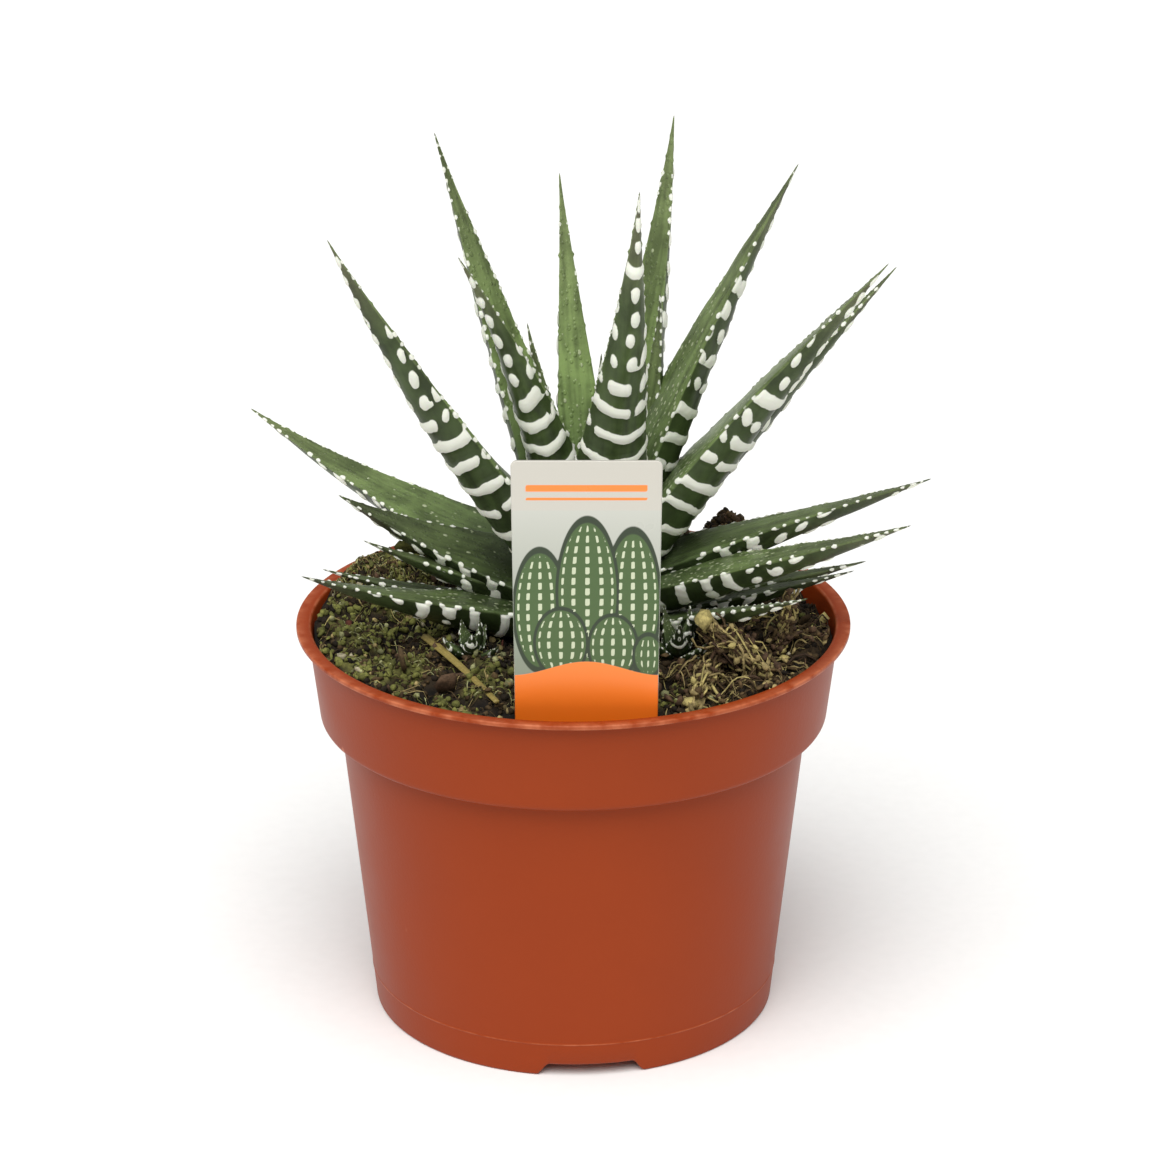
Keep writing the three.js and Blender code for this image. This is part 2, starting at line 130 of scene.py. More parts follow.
def new_material(name):
    """An empty node material, and its Object coordinates."""
    material = bpy.data.materials.new(name)
    material.use_nodes = True
    material.node_tree.nodes.clear()
    return material, add_node(material, "ShaderNodeTexCoord", output="Object")


def finish_material(material, inputs):
    """Joins the main shader, with these inputs, to the material's output."""
    shader = add_node(material, "ShaderNodeBsdfPrincipled", inputs)
    add_node(material, "ShaderNodeOutputMaterial", {"Surface": shader})


def turned(radius, angles, height):
    """Places at radii and angles round the Z axis, and at heights."""
    return np.stack(np.broadcast_arrays(radius * np.cos(angles), radius * np.sin(angles),
                                        height), -1)


def rounded(corners, steps=6):
    """An outline through corners given as (radius, height, rounding): each corner becomes
    a short curve that starts and ends its rounding away from it."""
    places = np.array([corner[:2] for corner in corners])
    outline = [places[:1]]
    t = np.linspace(0, 1, steps)[:, None]
    for before, here, after, (_, _, rounding) in zip(
            places, places[1:], places[2:], corners[1:]):
        first = here + rounding * (before - here) / np.linalg.norm(before - here)
        last = here + rounding * (after - here) / np.linalg.norm(after - here)
        outline.append((1 - t) ** 2 * first + 2 * t * (1 - t) * here + t**2 * last)
    outline.append(places[-1:])
    return np.concatenate(outline)


def resampled(outline, spacing):
    """The outline with extra points, so that none is further than spacing from the next."""
    gaps = np.linalg.norm(np.diff(outline, axis=0), axis=1)
    at = np.concatenate([[0], np.cumsum(gaps)])
    even = np.linspace(0, at[-1], int(at[-1] / spacing))
    at_all = np.unique(np.round(np.concatenate([at, even]), 3))
    return np.stack([np.interp(at_all, at, outline[:, k]) for k in (0, 1)], -1)


inner_floor = foot_height + floor_thickness
under_rim = pot_height - rim_thickness
shelf = collar_bottom + wall
body_slope = (body_top_radius - foot_radius) / collar_bottom
mould_rows = mould_line_height + np.array([-0.6, -0.3, -0.18, -0.09, 0, 0.09, 0.18, 0.3, 0.6])
pot_corners = [
    (pole_radius, foot_height, 0), (foot_radius - foot_width - 0.7, foot_height, 0.5),
    (foot_radius - foot_width, 0, 0.4), (foot_radius, 0, 0.7),
    *[(foot_radius + body_slope * row, row, 0) for row in mould_rows],
    (body_top_radius, collar_bottom, 0.9), (collar_foot_radius, collar_bottom, 1.2),
    (collar_top_radius, under_rim, 0.6), (rim_radius, under_rim, 0.3),
    (rim_radius, pot_height, 0.35), (rim_inner_radius, pot_height, 1.0),
    (collar_foot_radius - wall, shelf, 1.0), (body_top_radius - wall, shelf, 1.0),
    (foot_radius - wall, inner_floor, 1.0), (pole_radius, inner_floor, 0)]
pot_outline = resampled(rounded(pot_corners), pot_spacing)


def pot_surface():
    """The outline turned once round the Z axis. A fine ridge runs round the outside at the
    mould line, and the foot is lifted to a rounded notch at three angles."""
    fine = np.linspace(-1.8, 1.8, 19)
    edges = (notch_top_half + notch_mouth_half) / 2 / foot_radius * np.array([-1, 1])
    near = (notch_angles[:, None, None] + edges[:, None] + fine / foot_radius).ravel()
    even = np.linspace(0, 2 * np.pi, pot_columns, endpoint=False)
    angles = np.unique(np.round(np.concatenate([even, near % (2 * np.pi)]), 5))
    radius, height = (column[:, None] for column in pot_outline.T)
    outside = (np.arange(len(radius)) < np.argmax(pot_outline[:, 0]))[:, None]
    ridge = np.exp(-(((height - mould_line_height) / mould_line_width) ** 2))
    radius = radius + outside * (radius > foot_radius) * mould_line_rise * ridge
    turn = (angles[:, None] - notch_angles + np.pi) % (2 * np.pi) - np.pi
    away = np.abs(turn).min(-1) * foot_radius
    lift = notch_rise * (1 - smooth_step(away, notch_top_half, notch_mouth_half))
    low = np.clip(1 - height / foot_height, 0, 1)
    return turned(radius, angles, height + low * lift)


def edge_wear(grid):
    """Where the pale painted highlights go: 1 on the rim's edges, fading within 0.6 mm, and 0.7
    on the mould line's ridge.
    """
    radius = np.hypot(grid[..., 0], grid[..., 1])
    height = grid[..., 2]
    marks = [(rim_radius, pot_height), (rim_radius, under_rim), (rim_inner_radius, pot_height)]
    away = np.min([np.hypot(radius - r, height - h) for r, h in marks], axis=0)
    ridge = 1 - smooth_step(np.abs(height - mould_line_height), 0.08, 0.2)
    return np.maximum(1 - smooth_step(away, 0.2, 0.6), 0.7 * ridge * (radius > foot_radius))


# Moulded polypropylene: satin, slightly waxy, with a fine spark-eroded grain. The soft
# clouds 36 mm wide are flow marks and the pale nicks are handling scuffs, while the pale lines
# on the rim's edges and the mould line are painted highlights. The real grain is too fine to
# show, so it is drawn 0.7 mm wide.
pot_plastic, pot_place = new_material("moulded polypropylene, brick red")
flow = add_node(pot_plastic, "ShaderNodeTexNoise", {
    "Vector": pot_place, "Scale": 28.0, "Detail": 4.0, "Roughness": 0.6})
pot_red = add_node(pot_plastic, "ShaderNodeMix", {
    "Factor": flow, 6: "#8f3610", 7: "#993c13"}, 2, data_type="RGBA")
nicks = add_node(pot_plastic, "ShaderNodeTexVoronoi", {"Vector": pot_place, "Scale": 95.0})
nick_spot = add_node(pot_plastic, "ShaderNodeMapRange", (nicks, 0.05, 0.09, 0.55, 0.0))
nick_rare = add_node(pot_plastic, "ShaderNodeTexNoise", {
    "Vector": pot_place, "Scale": 60.0, "Detail": 1.0})
nick_gate = add_node(pot_plastic, "ShaderNodeMapRange", (nick_rare, 0.66, 0.70))
nick_share = add_node(pot_plastic, "ShaderNodeMath", (nick_spot, nick_gate),
                      operation="MULTIPLY")
# Painted highlights: pale lines on the rim's three edges and on the mould line's ridge, broken up
# by noise.
glint = add_node(pot_plastic, "ShaderNodeAttribute", output="Fac", attribute_name="wear")
glint_break = add_node(pot_plastic, "ShaderNodeTexNoise", {
    "Vector": pot_place, "Scale": 260.0, "Detail": 3.0})
glint_gate = add_node(pot_plastic, "ShaderNodeMapRange", (glint_break, 0.35, 0.65, 0.0, 0.75))
glint_share = add_node(pot_plastic, "ShaderNodeMath", (glint, glint_gate), operation="MULTIPLY")
scuff_and_glint_share = add_node(pot_plastic, "ShaderNodeMath", (nick_share, glint_share),
                      operation="MAXIMUM")
pot_grain = add_node(pot_plastic, "ShaderNodeTexNoise", {"Vector": pot_place, "Scale": 1500.0})
finish_material(pot_plastic, {
    "Base Color": add_node(pot_plastic, "ShaderNodeMix", {
        "Factor": scuff_and_glint_share, 6: pot_red, 7: "#cd7a55"}, 2, data_type="RGBA"),
    "Roughness": add_node(pot_plastic, "ShaderNodeMapRange", (flow, 0.3, 0.7, 0.36, 0.46)),
    "Normal": add_node(pot_plastic, "ShaderNodeBump", {
        "Height": pot_grain, "Strength": 0.12, "Distance": 0.0002}),
    "IOR": 1.49, "Specular IOR Level": 0.16})

pot_grid = pot_surface()
pot_skin = closed_skin(pot_grid, (0, 0, foot_height), (0, 0, inner_floor))
add_piece("nursery_pot", pot_skin, pot_plastic, "pot_plastic", replaced=["pot"],
          wear=np.append(edge_wear(pot_grid), [0, 0]))

# The potting mix
# Damp black peat with crumbs, bark chips, dry root threads and bits of moss, filled to
# just under the rim. It is heaped at the back and hollow at the wall on the right.
mix_level, mix_radius = 86.4, 56.1
heaps = [(-42, 27, 5.6, 8), (-52, 6, 2.5, 7), (35, 34, 12.5, 5.5), (50, 12, -2, 8),
         (3, -54, -2.2, 7)]
clod_layers = [(6.5, 1.5, 1), (2.8, 1.0, 2), (1.2, 0.45, 3)]
hollow_share, wall_fall, press_depth = 1.35, 1.2, 2.0
press_front, press_side = (46, 49), (-20, -16)
mix_gap, floor_gap, mix_shoulder, mix_centre = 0.5, 0.3, 82.0, 0.6
mix_columns, mix_rings = 460, 132
label_middle, strip_half, strip_front = 2.8, 17, -47
stem_middle, shaded_share, shade_near, shade_far = (4, 3), 0.45, 20, 44
painted_hollow_shade, moss_most, tone_range = 0.35, 0.6, (0.6, 1.3)
hash_steps = (73856093, 19349663, 83492791, 39916801)
seed_step, stir_factor = 2654435761, 1274126177
soil_colours = {"peat": "#1f170c", "humus": "#3a2c18", "brown": "#54432a", "bark": "#54402f",
                "tan": "#978659", "straw": "#b3a468", "moss": "#6f7038", "lichen": "#9a9a6c",
                "pale": "#a89f83", "red": "#6b3a2a"}


def mixed_bits(key):
    """The low 32 bits of a whole number, stirred so that near numbers end far apart."""
    return ((key ^ (key >> 13)) & 0xFFFFFFFF) * stir_factor & 0xFFFFFFFF


def lattice_noise(points, seed):
    """Smooth noise from -1 to 1: a random number sits at each whole-number place, and the
    numbers round a point are blended by 3t^2 - 2t^3 along each direction."""
    cell = np.floor(points).astype(np.int64)
    along = points - cell
    along = along * along * (3 - 2 * along)
    steps = np.array(hash_steps[: points.shape[-1]])
    total = np.zeros(points.shape[:-1])
    for corner in np.ndindex(*(2,) * points.shape[-1]):
        key = mixed_bits(((cell + corner) * steps).sum(-1) + seed_step * (seed + 1))
        key = (key ^ (key >> 16)) & 0xFFFF
        share = np.where(corner, along, 1 - along).prod(-1)
        total += share * (key / 32767.5 - 1)
    return total


def mix_height(x, y):
    """Where the mix stands: its level, long lumps made of sines, and for each heap its
    rise times exp(-distance^2 / (2 spread^2))."""
    height = mix_level + 0.9 * np.sin(0.33 * x + 1.1) * np.cos(0.29 * y + 0.4)
    height = height + 0.6 * np.sin(0.71 * x - 0.43 * y + 2.3)
    for middle_x, middle_y, rise, width in heaps:
        away = (x - middle_x) ** 2 + (y - middle_y) ** 2
        height = height + rise * np.exp(-away / (2 * width**2))
    return height


def mix_surface(x, y):
    """The mix's height with its clods: three layers of noise, the finer the lower, with
    the hollows between clods made deeper than the clods are high. It falls a little at
    the wall, and is pressed down in front of the label."""
    place = np.stack([x, y], -1)
    rough = sum(rise * lattice_noise(place / width, seed) for width, rise, seed in clod_layers)
    rough = np.where(rough < 0, hollow_share * rough, rough)
    edge = smooth_step(np.hypot(x, y), mix_radius - 2.5, mix_radius)
    pressed = smooth_step(-np.abs(x - label_middle), *press_side)
    pressed = smooth_step(-y, *press_front) * pressed
    return (mix_height(x, y) + rough * (1 - 0.6 * edge) - wall_fall * edge
            - press_depth * pressed)


def mix_grid():
    """Rings from the foot of the fill up its side to the rim, and on over the top."""
    angles = np.linspace(0, 2 * np.pi, mix_columns, endpoint=False)
    side = [(foot_radius - wall, inner_floor + floor_gap), (body_top_radius - wall, shelf),
            (collar_foot_radius - wall, shelf + 1.2), (mix_radius, mix_shoulder)]
    rings = [turned(r - mix_gap, angles, z) for r, z in side]
    top = turned(np.linspace(mix_radius, mix_centre, mix_rings)[:, None], angles, 0.0)
    top[..., 2] = mix_surface(top[..., 0], top[..., 1])
    return np.concatenate([np.stack(rings), top])


# Damp peat: brown on its crumbs and quite matt, darkened towards black in its hollows and
# under the leaves as painted shade. Each crumb, chip and thread brings its own tint, which a
# grain 1 mm wide then breaks up.
peat, peat_place = new_material("damp peat and bark")
peat_tint = add_node(peat, "ShaderNodeAttribute", attribute_name="tint")
peat_grain = add_node(peat, "ShaderNodeTexNoise", {
    "Vector": peat_place, "Scale": 900.0, "Detail": 5.0, "Roughness": 0.7})
peat_light = add_node(peat, "ShaderNodeMapRange", (peat_grain, 0.3, 0.7, 0.45, 1.5))
finish_material(peat, {
    "Base Color": add_node(peat, "ShaderNodeVectorMath", (peat_tint, peat_light),
                           operation="MULTIPLY"),
    "Normal": add_node(peat, "ShaderNodeBump", {
        "Height": peat_grain, "Strength": 0.7, "Distance": 0.0006}),
    "Roughness": 0.85, "Specular IOR Level": 0.3})


def tints(names, chosen):
    """The colour of each chosen name, as rows of red, green, blue and alpha."""
    return np.array([linear(soil_colours[name]) for name in names])[chosen]


def mossiness(places):
    """How green the mix is at a place: patches 9 mm wide, most of them on the left."""
    return smooth_step(lattice_noise(places / 9, 7) - 0.016 * places[:, 0], -0.1, 0.7)


def painted_leaf_shade(places):
    """How much of its colour the mix keeps, as painted shade under the leaves: a share of it
    near the stem, rising to all of it further out."""
    away = np.hypot(*(places - stem_middle).T)
    return (shaded_share + (1 - shaded_share) * smooth_step(away, shade_near, shade_far))[:, None]


mix_skin = closed_skin(mix_grid(), (0, 0, inner_floor + floor_gap),
                       (0, 0, mix_surface(0.0, 0.0)))
flat_places = mix_skin[0][:, :2]
raised = mix_skin[0][:, 2] - mix_height(*flat_places.T)
# Painted shade: the hollows between clods, the edge by the wall and the strip pressed down before
# the label are darkened to nearly black, below the peat's own colour.
mix_shade = smooth_step(raised, -1.6, 2.0)[:, None]
moss_share = (moss_most * mossiness(flat_places) * smooth_step(raised, -0.2, 1.0))[:, None]
mix_tint = (1 - mix_shade) * tints(["peat"], 0) * painted_hollow_shade
mix_tint = mix_tint + mix_shade * tints(["humus"], 0)
mix_tint = mix_tint * (1 - moss_share) + moss_share * tints(["moss"], 0)
add_piece("potting_mix_bed", mix_skin, peat, "potting_mix", replaced=["potting_mix"],
          tint=mix_tint * painted_leaf_shade(flat_places))


def random_turns(chance, count):
    """Turning matrices from random unit quaternions."""
    w, x, y, z = chance.normal(size=(4, count))
    size = np.sqrt(w * w + x * x + y * y + z * z)
    w, x, y, z = w / size, x / size, y / size, z / size
    rows = [[1 - 2 * (y * y + z * z), 2 * (x * y - w * z), 2 * (x * z + w * y)],
            [2 * (x * y + w * z), 1 - 2 * (x * x + z * z), 2 * (y * z - w * x)],
            [2 * (x * z - w * y), 2 * (y * z + w * x), 1 - 2 * (x * x + y * y)]]
    return np.moveaxis(np.array(rows), -1, 0)


golden = (1 + 5**0.5) / 2
crumb_points = np.array([(-1, golden, 0), (1, golden, 0), (-1, -golden, 0), (1, -golden, 0),
                         (0, -1, golden), (0, 1, golden), (0, -1, -golden), (0, 1, -golden),
                         (golden, 0, -1), (golden, 0, 1), (-golden, 0, -1), (-golden, 0, 1)])
crumb_points = crumb_points / np.linalg.norm(crumb_points[0])
crumb_faces = np.array([(0, 11, 5), (0, 5, 1), (0, 1, 7), (0, 7, 10), (0, 10, 11),
                        (1, 5, 9), (5, 11, 4), (11, 10, 2), (10, 7, 6), (7, 1, 8),
                        (3, 9, 4), (3, 4, 2), (3, 2, 6), (3, 6, 8), (3, 8, 9),
                        (4, 9, 5), (2, 4, 11), (6, 2, 10), (8, 6, 7), (9, 8, 1)])


def lay(name, skin, colours):
    """Adds crumbs or threads to the mix, with one colour for each of them."""
    tint = np.repeat(colours, len(skin[0]) // len(colours), 0)
    add_piece(name, skin, peat, "potting_mix", tint=tint)


def lumps_on_mix(chance, places, half_sizes, sink, roughness=0.3):
    """Twelve-cornered lumps, each with its own turn, half sizes and dented corners, laid
    on the mix, or at their places' own heights, and sunk by a share of their size."""
    count = len(places)
    shape = crumb_points * half_sizes[:, None, :]
    shape = shape * (1 + roughness * chance.uniform(-1, 1, (count, 12, 1)))
    points = np.einsum("mij,mvj->mvi", random_turns(chance, count), shape)
    lift = half_sizes.mean(-1) * (1 - 2 * sink)
    x, y = places[:, :2].T
    level = places[:, 2] if places.shape[1] == 3 else mix_surface(x, y)
    points += np.stack([x, y, level + lift], -1)[:, None, :]
    faces = crumb_faces + 12 * np.arange(count)[:, None, None]
    return points.reshape(-1, 3), np.zeros((0, 4), int), faces.reshape(-1, 3)


def on_disc(chance, count, radius=mix_radius - 1.0):
    """Places spread evenly over a disc, save for the strip in front of the label."""
    out = radius * np.sqrt(chance.uniform(size=count))
    turn = chance.uniform(0, 2 * np.pi, count)
    x, y = out * np.cos(turn), out * np.sin(turn)
    kept = (np.abs(x - label_middle) > strip_half) | (y > strip_front)
    return np.stack([x, y], -1)[kept]


def pulled_in(places, radius=mix_radius - 1.0):
    """The places, with those outside a radius drawn in to it."""
    out = np.linalg.norm(places[:, :2], axis=1, keepdims=True)
    inward = np.minimum(1, radius / np.maximum(out, 0.001))
    return np.concatenate([places[:, :2] * inward, places[:, 2:]], 1)


def add_lumps(name, seed, places, smallest, largest, flatness, names, weights, sink=0.3):
    """Lays one kind of lump on the mix, darkened under the leaves as painted shade, and green
    for a share of them where it is mossy."""
    chance = np.random.default_rng(seed)
    count = len(places)
    size = chance.uniform(smallest, largest, (count, 1)) / 2
    half_sizes = size * np.array(flatness) * chance.uniform(0.7, 1.3, (count, 3))
    colours = tints(names, chance.choice(len(names), count, p=weights))
    colours = colours * chance.uniform(*tone_range, (count, 1))
    mossed = (chance.uniform(size=count) < 0.55 * mossiness(places))[:, None]
    green = tints(["moss"], 0) * chance.uniform(0.5, 1.3, (count, 1))
    colours = np.where(mossed, green, colours) * painted_leaf_shade(places)
    lay(name, lumps_on_mix(chance, places, half_sizes, sink), colours)


def add_clots(name, chance, places, sizes, flatness, names, weights, sink, roughness, light=1):
    """Lays dented lumps of one kind, drawn from a chance that is already running."""
    count = len(places)
    half_sizes = chance.uniform(*sizes, (count, 1)) * np.array(flatness)
    colours = light * tints(names, chance.choice(len(names), count, p=weights))
    lay(name, lumps_on_mix(chance, places, half_sizes, sink, roughness), colours)


def unit(vectors):
    """The vectors, each divided by its own length."""
    return vectors / np.linalg.norm(vectors, axis=-1, keepdims=True)


def thread_tubes(centre, radius, chance):
    """Three-sided tubes round rows of centre points. Each ring stands square to the
    thread, made from its direction and a random one."""
    count, steps = centre.shape[:2]
    along = unit(np.gradient(centre, axis=1))
    side = unit(np.cross(along, chance.normal(size=(count, 1, 3))))
    up = np.cross(along, side)
    angles = np.radians([0, 120, 240])[:, None]
    ring = np.cos(angles) * side[:, :, None] + np.sin(angles) * up[:, :, None]
    points = centre[:, :, None] + radius[:, :, None, None] * ring
    index = np.arange(count * steps * 3).reshape(count, steps, 3)
    right = np.roll(index, -1, axis=2)
    quads = np.stack([index[:, :-1], right[:, :-1], right[:, 1:], index[:, 1:]], -1)
    ends = np.concatenate([index[:, 0, ::-1], index[:, -1]])
    return points.reshape(-1, 3), quads.reshape(-1, 4), ends


def add_threads(name, seed, places, lengths, radii, arch, names, steps=5, headings=None):
    """Threads lying on the mix. Each starts at its place, bends evenly to one side, and
    rises in a low arch by a share of its length. Those with a heading of their own keep their
    colour, and the others are darkened under the leaves as painted shade."""
    chance = np.random.default_rng(seed)
    count = len(places)
    length = chance.uniform(*lengths, (count, 1))
    heading = chance.uniform(0, 2 * np.pi, (count, 1))
    if headings is not None:
        heading = np.reshape(headings, (count, 1)) + 0.12 * (heading - np.pi)
    bend = chance.normal(0, 1.2, (count, 1))
    t = np.linspace(0, 1, steps)
    turn = heading + bend * t + 0.5 * np.sin(5 * t + heading * 7)
    x = places[:, :1] + np.cumsum(length / steps * np.cos(turn), axis=1)
    y = places[:, 1:] + np.cumsum(length / steps * np.sin(turn), axis=1)
    inside = np.minimum(1, (mix_radius - 0.8) / np.hypot(x, y))
    x, y = x * inside, y * inside
    lift = chance.uniform(*arch, (count, 1)) * length * np.sin(np.pi * t)
    z = mix_surface(x, y) + lift + 0.15
    radius = chance.uniform(*radii, (count, 1)) * (0.35 + 0.65 * np.sin(np.pi * t) ** 0.5)
    skin = thread_tubes(np.stack([x, y, z], -1), radius, chance)
    colours = tints(names, chance.choice(len(names), count))
    colours = colours * chance.uniform(*tone_range, (count, 1))
    if headings is None:
        colours = colours * painted_leaf_shade(places)
    lay(name, skin, colours)


# Loose crumbs, moss and bark, all over the mix.
crumb_chance = np.random.default_rng(14)
add_lumps("peat_crumbs", 11, on_disc(crumb_chance, 5800), 0.6, 1.8, (1, 0.9, 0.8),
          ["peat", "humus", "brown", "tan"], [0.45, 0.31, 0.18, 0.06])
granule_places = on_disc(crumb_chance, 4200)
granule_share = 0.06 + 0.5 * mossiness(granule_places)
granule_places = granule_places[crumb_chance.uniform(size=len(granule_share)) < granule_share]
add_lumps("moss_granules", 12, granule_places, 0.7, 1.9, (1, 0.95, 0.9),
          ["moss", "lichen", "tan", "pale"], [0.45, 0.33, 0.14, 0.08], 0.1)
add_lumps("bark_chips", 13, on_disc(crumb_chance, 330), 1.6, 4.2, (1, 0.5, 0.2),
          ["humus", "brown", "bark", "tan", "red"], [0.34, 0.3, 0.25, 0.08, 0.03], 0.1)
flake_places = np.array([(-26.2, -39.4), (-36, -30), (-37, 34), (37, -31), (46, -14)])
add_lumps("bark_flakes", 15, flake_places, 6.0, 9.0, (1, 0.62, 0.12),
          ["bark", "humus", "brown"], [0.4, 0.2, 0.4], -0.3)

# Rootlets all over, moss at the left and on its heap, and a clod at the back on the right.
tuft_middle, tuft_spread = np.array([-44.0, 25.0]), [6.0, 7.5]
clod_middle = np.array([35.0, 34.0])
thread_chance = np.random.default_rng(21)
add_threads("fine_rootlets", 22, on_disc(thread_chance, 1300), (3, 11), (0.07, 0.15),
            (0.0, 0.16), ["humus", "humus", "brown", "brown", "tan", "straw"], 6)
moss_places = on_disc(thread_chance, 1300, 50) * [0.62, 0.95] + [-19, 2]
add_threads("moss_strands", 23, pulled_in(moss_places), (1.5, 4), (0.09, 0.19), (0.1, 0.45),
            ["moss", "moss", "lichen", "humus"])
heap_tuft = tuft_middle + thread_chance.normal(0, 1, (640, 2)) * tuft_spread
add_threads("moss_tuft", 24, pulled_in(heap_tuft), (1.2, 3.2), (0.09, 0.16), (0.25, 0.5),
            ["moss", "moss", "lichen", "brown", "tan"])
clod_roots = clod_middle + thread_chance.normal(0, 1, (60, 2)) * [4.0, 3.5]
add_threads("clod_rootlets", 25, pulled_in(clod_roots), (1.5, 3.5), (0.08, 0.14), (0.1, 0.35),
            ["brown", "brown", "bark"])
clod_chance = np.random.default_rng(26)
clod_places = clod_middle + clod_chance.normal(0, 1, (260, 2)) * [4.2, 4.0]
add_lumps("clod_crumbs", 16, pulled_in(clod_places), 0.7, 2.0, (1, 0.9, 0.8),
          ["humus", "brown", "bark", "peat"], [0.35, 0.3, 0.15, 0.2])
tuft_places = tuft_middle + clod_chance.normal(0, 1, (420, 2)) * tuft_spread
add_lumps("tuft_granules", 17, pulled_in(tuft_places), 0.6, 1.5, (1, 0.9, 0.9),
          ["moss", "lichen", "brown", "tan"], [0.5, 0.2, 0.2, 0.1])
heap_places = np.array([25.5, 46.0, 88.2]) + clod_chance.normal(0, 1, (150, 3)) * [3.4, 2.2, 1.0]
add_clots("rim_heap_crumbs", clod_chance, pulled_in(heap_places), (0.5, 1.3), (1, 0.9, 0.8),
          ["humus", "brown", "bark"], None, 0.5, 0.3)

# The tangle of dry roots
# Old fibrous roots and flaky bark that were pulled up when the plant was potted. They lie
# in loose knots on the mix at the right, bleached to straw and tan.
tangle_knots = [((28, -7), (3.0, 3.0), 26, -1.2), ((29, -20), (4.0, 5.0), 44, -1.7),
                ((26.5, -36), (5.0, 4.5), 50, 0.5), ((45, -7), (5.0, 6.0), 60, 0.9),
                ((38, -24), (6.0, 6.0), 44, 0.2)]
tangle_chance = np.random.default_rng(31)
tangle_places = np.concatenate([
    middle + tangle_chance.normal(0, 1, (count, 2)) * width
    for middle, width, count, _ in tangle_knots])
tangle_headings = np.repeat([knot[3] for knot in tangle_knots],
                            [knot[2] for knot in tangle_knots])
add_threads("dry_root_tangle", 32, pulled_in(tangle_places), (4, 13), (0.12, 0.36),
            (0.05, 0.3), ["straw", "tan", "brown", "brown", "bark"], 10, tangle_headings)
chip_places = tangle_places + tangle_chance.normal(0, 1.8, tangle_places.shape)
add_clots("flaky_root_bark", tangle_chance, pulled_in(chip_places), (0.5, 1.5), (1, 0.55, 0.4),
          ["tan", "straw", "brown", "bark"], [0.16, 0.08, 0.46, 0.3], -0.5, 0.45, 1.35)

# Bundles of dry roots that stand clear of the mix: from, to, strands and spread.
root_bundles = [((41, -31.5, 87.5), (27.2, -28.5, 99.0), 70, 1.9),
                ((24.5, -46, 87.0), (30.5, -28, 90.5), 56, 1.5),
                ((44, -17, 87.5), (46.7, -15, 101), 50, 0.9)]
bundle_steps = 9


def bundle_strands(chance, start, end, count, width):
    """Strands that each run for a part of the way from one end of a bundle to the other,
    at their own distance from its middle, and swing to and fro by a sine."""
    t = np.linspace(0, 1, bundle_steps)
    part = chance.uniform(0.3, 0.8, (count, 1))
    along = chance.uniform(0, 1, (count, 1)) * (1 - part) + part * t
    line = np.array(start) + along[..., None] * np.subtract(end, start)
    swing = np.sin(6 * t + chance.uniform(0, 6, (count, 1)))[..., None]
    line = line + 0.7 * width * chance.normal(0, 1, (count, 1, 3))
    line = line + 0.7 * width * swing * chance.normal(0, 1, (count, 1, 3))
    ground = mix_surface(line[..., 0], line[..., 1]) + 0.2
    line[..., 2] = np.maximum(line[..., 2], ground)
    return line


bundle_chance = np.random.default_rng(35)
strands = np.concatenate([bundle_strands(bundle_chance, *bundle) for bundle in root_bundles])
strand_count = len(strands)
strand_radius = bundle_chance.uniform(0.12, 0.4, (strand_count, 1)) * np.ones(bundle_steps)
strand_colours = tints(["straw", "tan", "brown", "bark"],
                       bundle_chance.choice(4, strand_count, p=[0.2, 0.3, 0.3, 0.2]))
strand_colours = strand_colours * bundle_chance.uniform(0.65, 1.25, (strand_count, 1))
lay("root_bundles", thread_tubes(strands, strand_radius, bundle_chance), strand_colours)
add_clots("root_clots", bundle_chance, strands[:, ::3].reshape(-1, 3), (0.4, 1.3),
          (1, 0.7, 0.6), ["tan", "straw", "brown", "bark"], [0.26, 0.1, 0.38, 0.26], 0.5, 0.45)
knobs = np.array([(27.2, -28.5, 99.5), (28.9, -28.5, 97.5), (32.5, -29.2, 95.4),
                  (37.0, -30.5, 91.5), (24.5, -45.5, 87.6), (54.0, 3.0, 86.5)])
knob_sizes = np.array([(2.5, 1.7, 1.9), (1.4, 1.2, 2.2), (1.9, 1.1, 1.3), (1.7, 1.2, 1.4),
                       (2.3, 1.3, 1.2), (1.4, 1.1, 1.8)])
lay("old_root_knobs", lumps_on_mix(bundle_chance, knobs, knob_sizes, 0.5, 0.4),
    tints(["straw", "tan"], [0, 1, 0, 1, 0, 0]))

# The straw
# One dry stalk, flattened and ribbed along its length, lying on the mix at the left.
straw_ends = np.array([(-31.8, -10.0), (-15.7, -45.8)])
straw_radius, straw_lift, straw_steps, straw_columns = 0.6, 1.5, 60, 20
straw_t = np.linspace(0, 1, straw_steps)
straw_line = straw_ends[0] + straw_t[:, None] * (straw_ends[1] - straw_ends[0])
straw_bed = np.linspace(*mix_height(*straw_ends.T), straw_steps) + straw_lift
straw_centre = np.column_stack([straw_line, straw_bed + 0.5 * np.sin(np.pi * straw_t)])
straw_way = unit(np.gradient(straw_centre, axis=0))
straw_side = unit(np.cross(straw_way, (0, 0, 1)))
straw_up = np.cross(straw_side, straw_way)
straw_turn = np.linspace(0, 2 * np.pi, straw_columns, endpoint=False)
straw_swell = straw_radius * (1 + 0.12 * np.cos(5 * straw_turn))
straw_taper = (1.45 - 0.6 * straw_t)[:, None, None]
straw_ring = (1.15 * np.cos(straw_turn) * straw_swell)[:, None] * straw_side[:, None]
straw_ring = straw_ring + (0.8 * np.sin(straw_turn) * straw_swell)[:, None] * straw_up[:, None]
straw_grid = straw_centre[:, None] + straw_taper * straw_ring

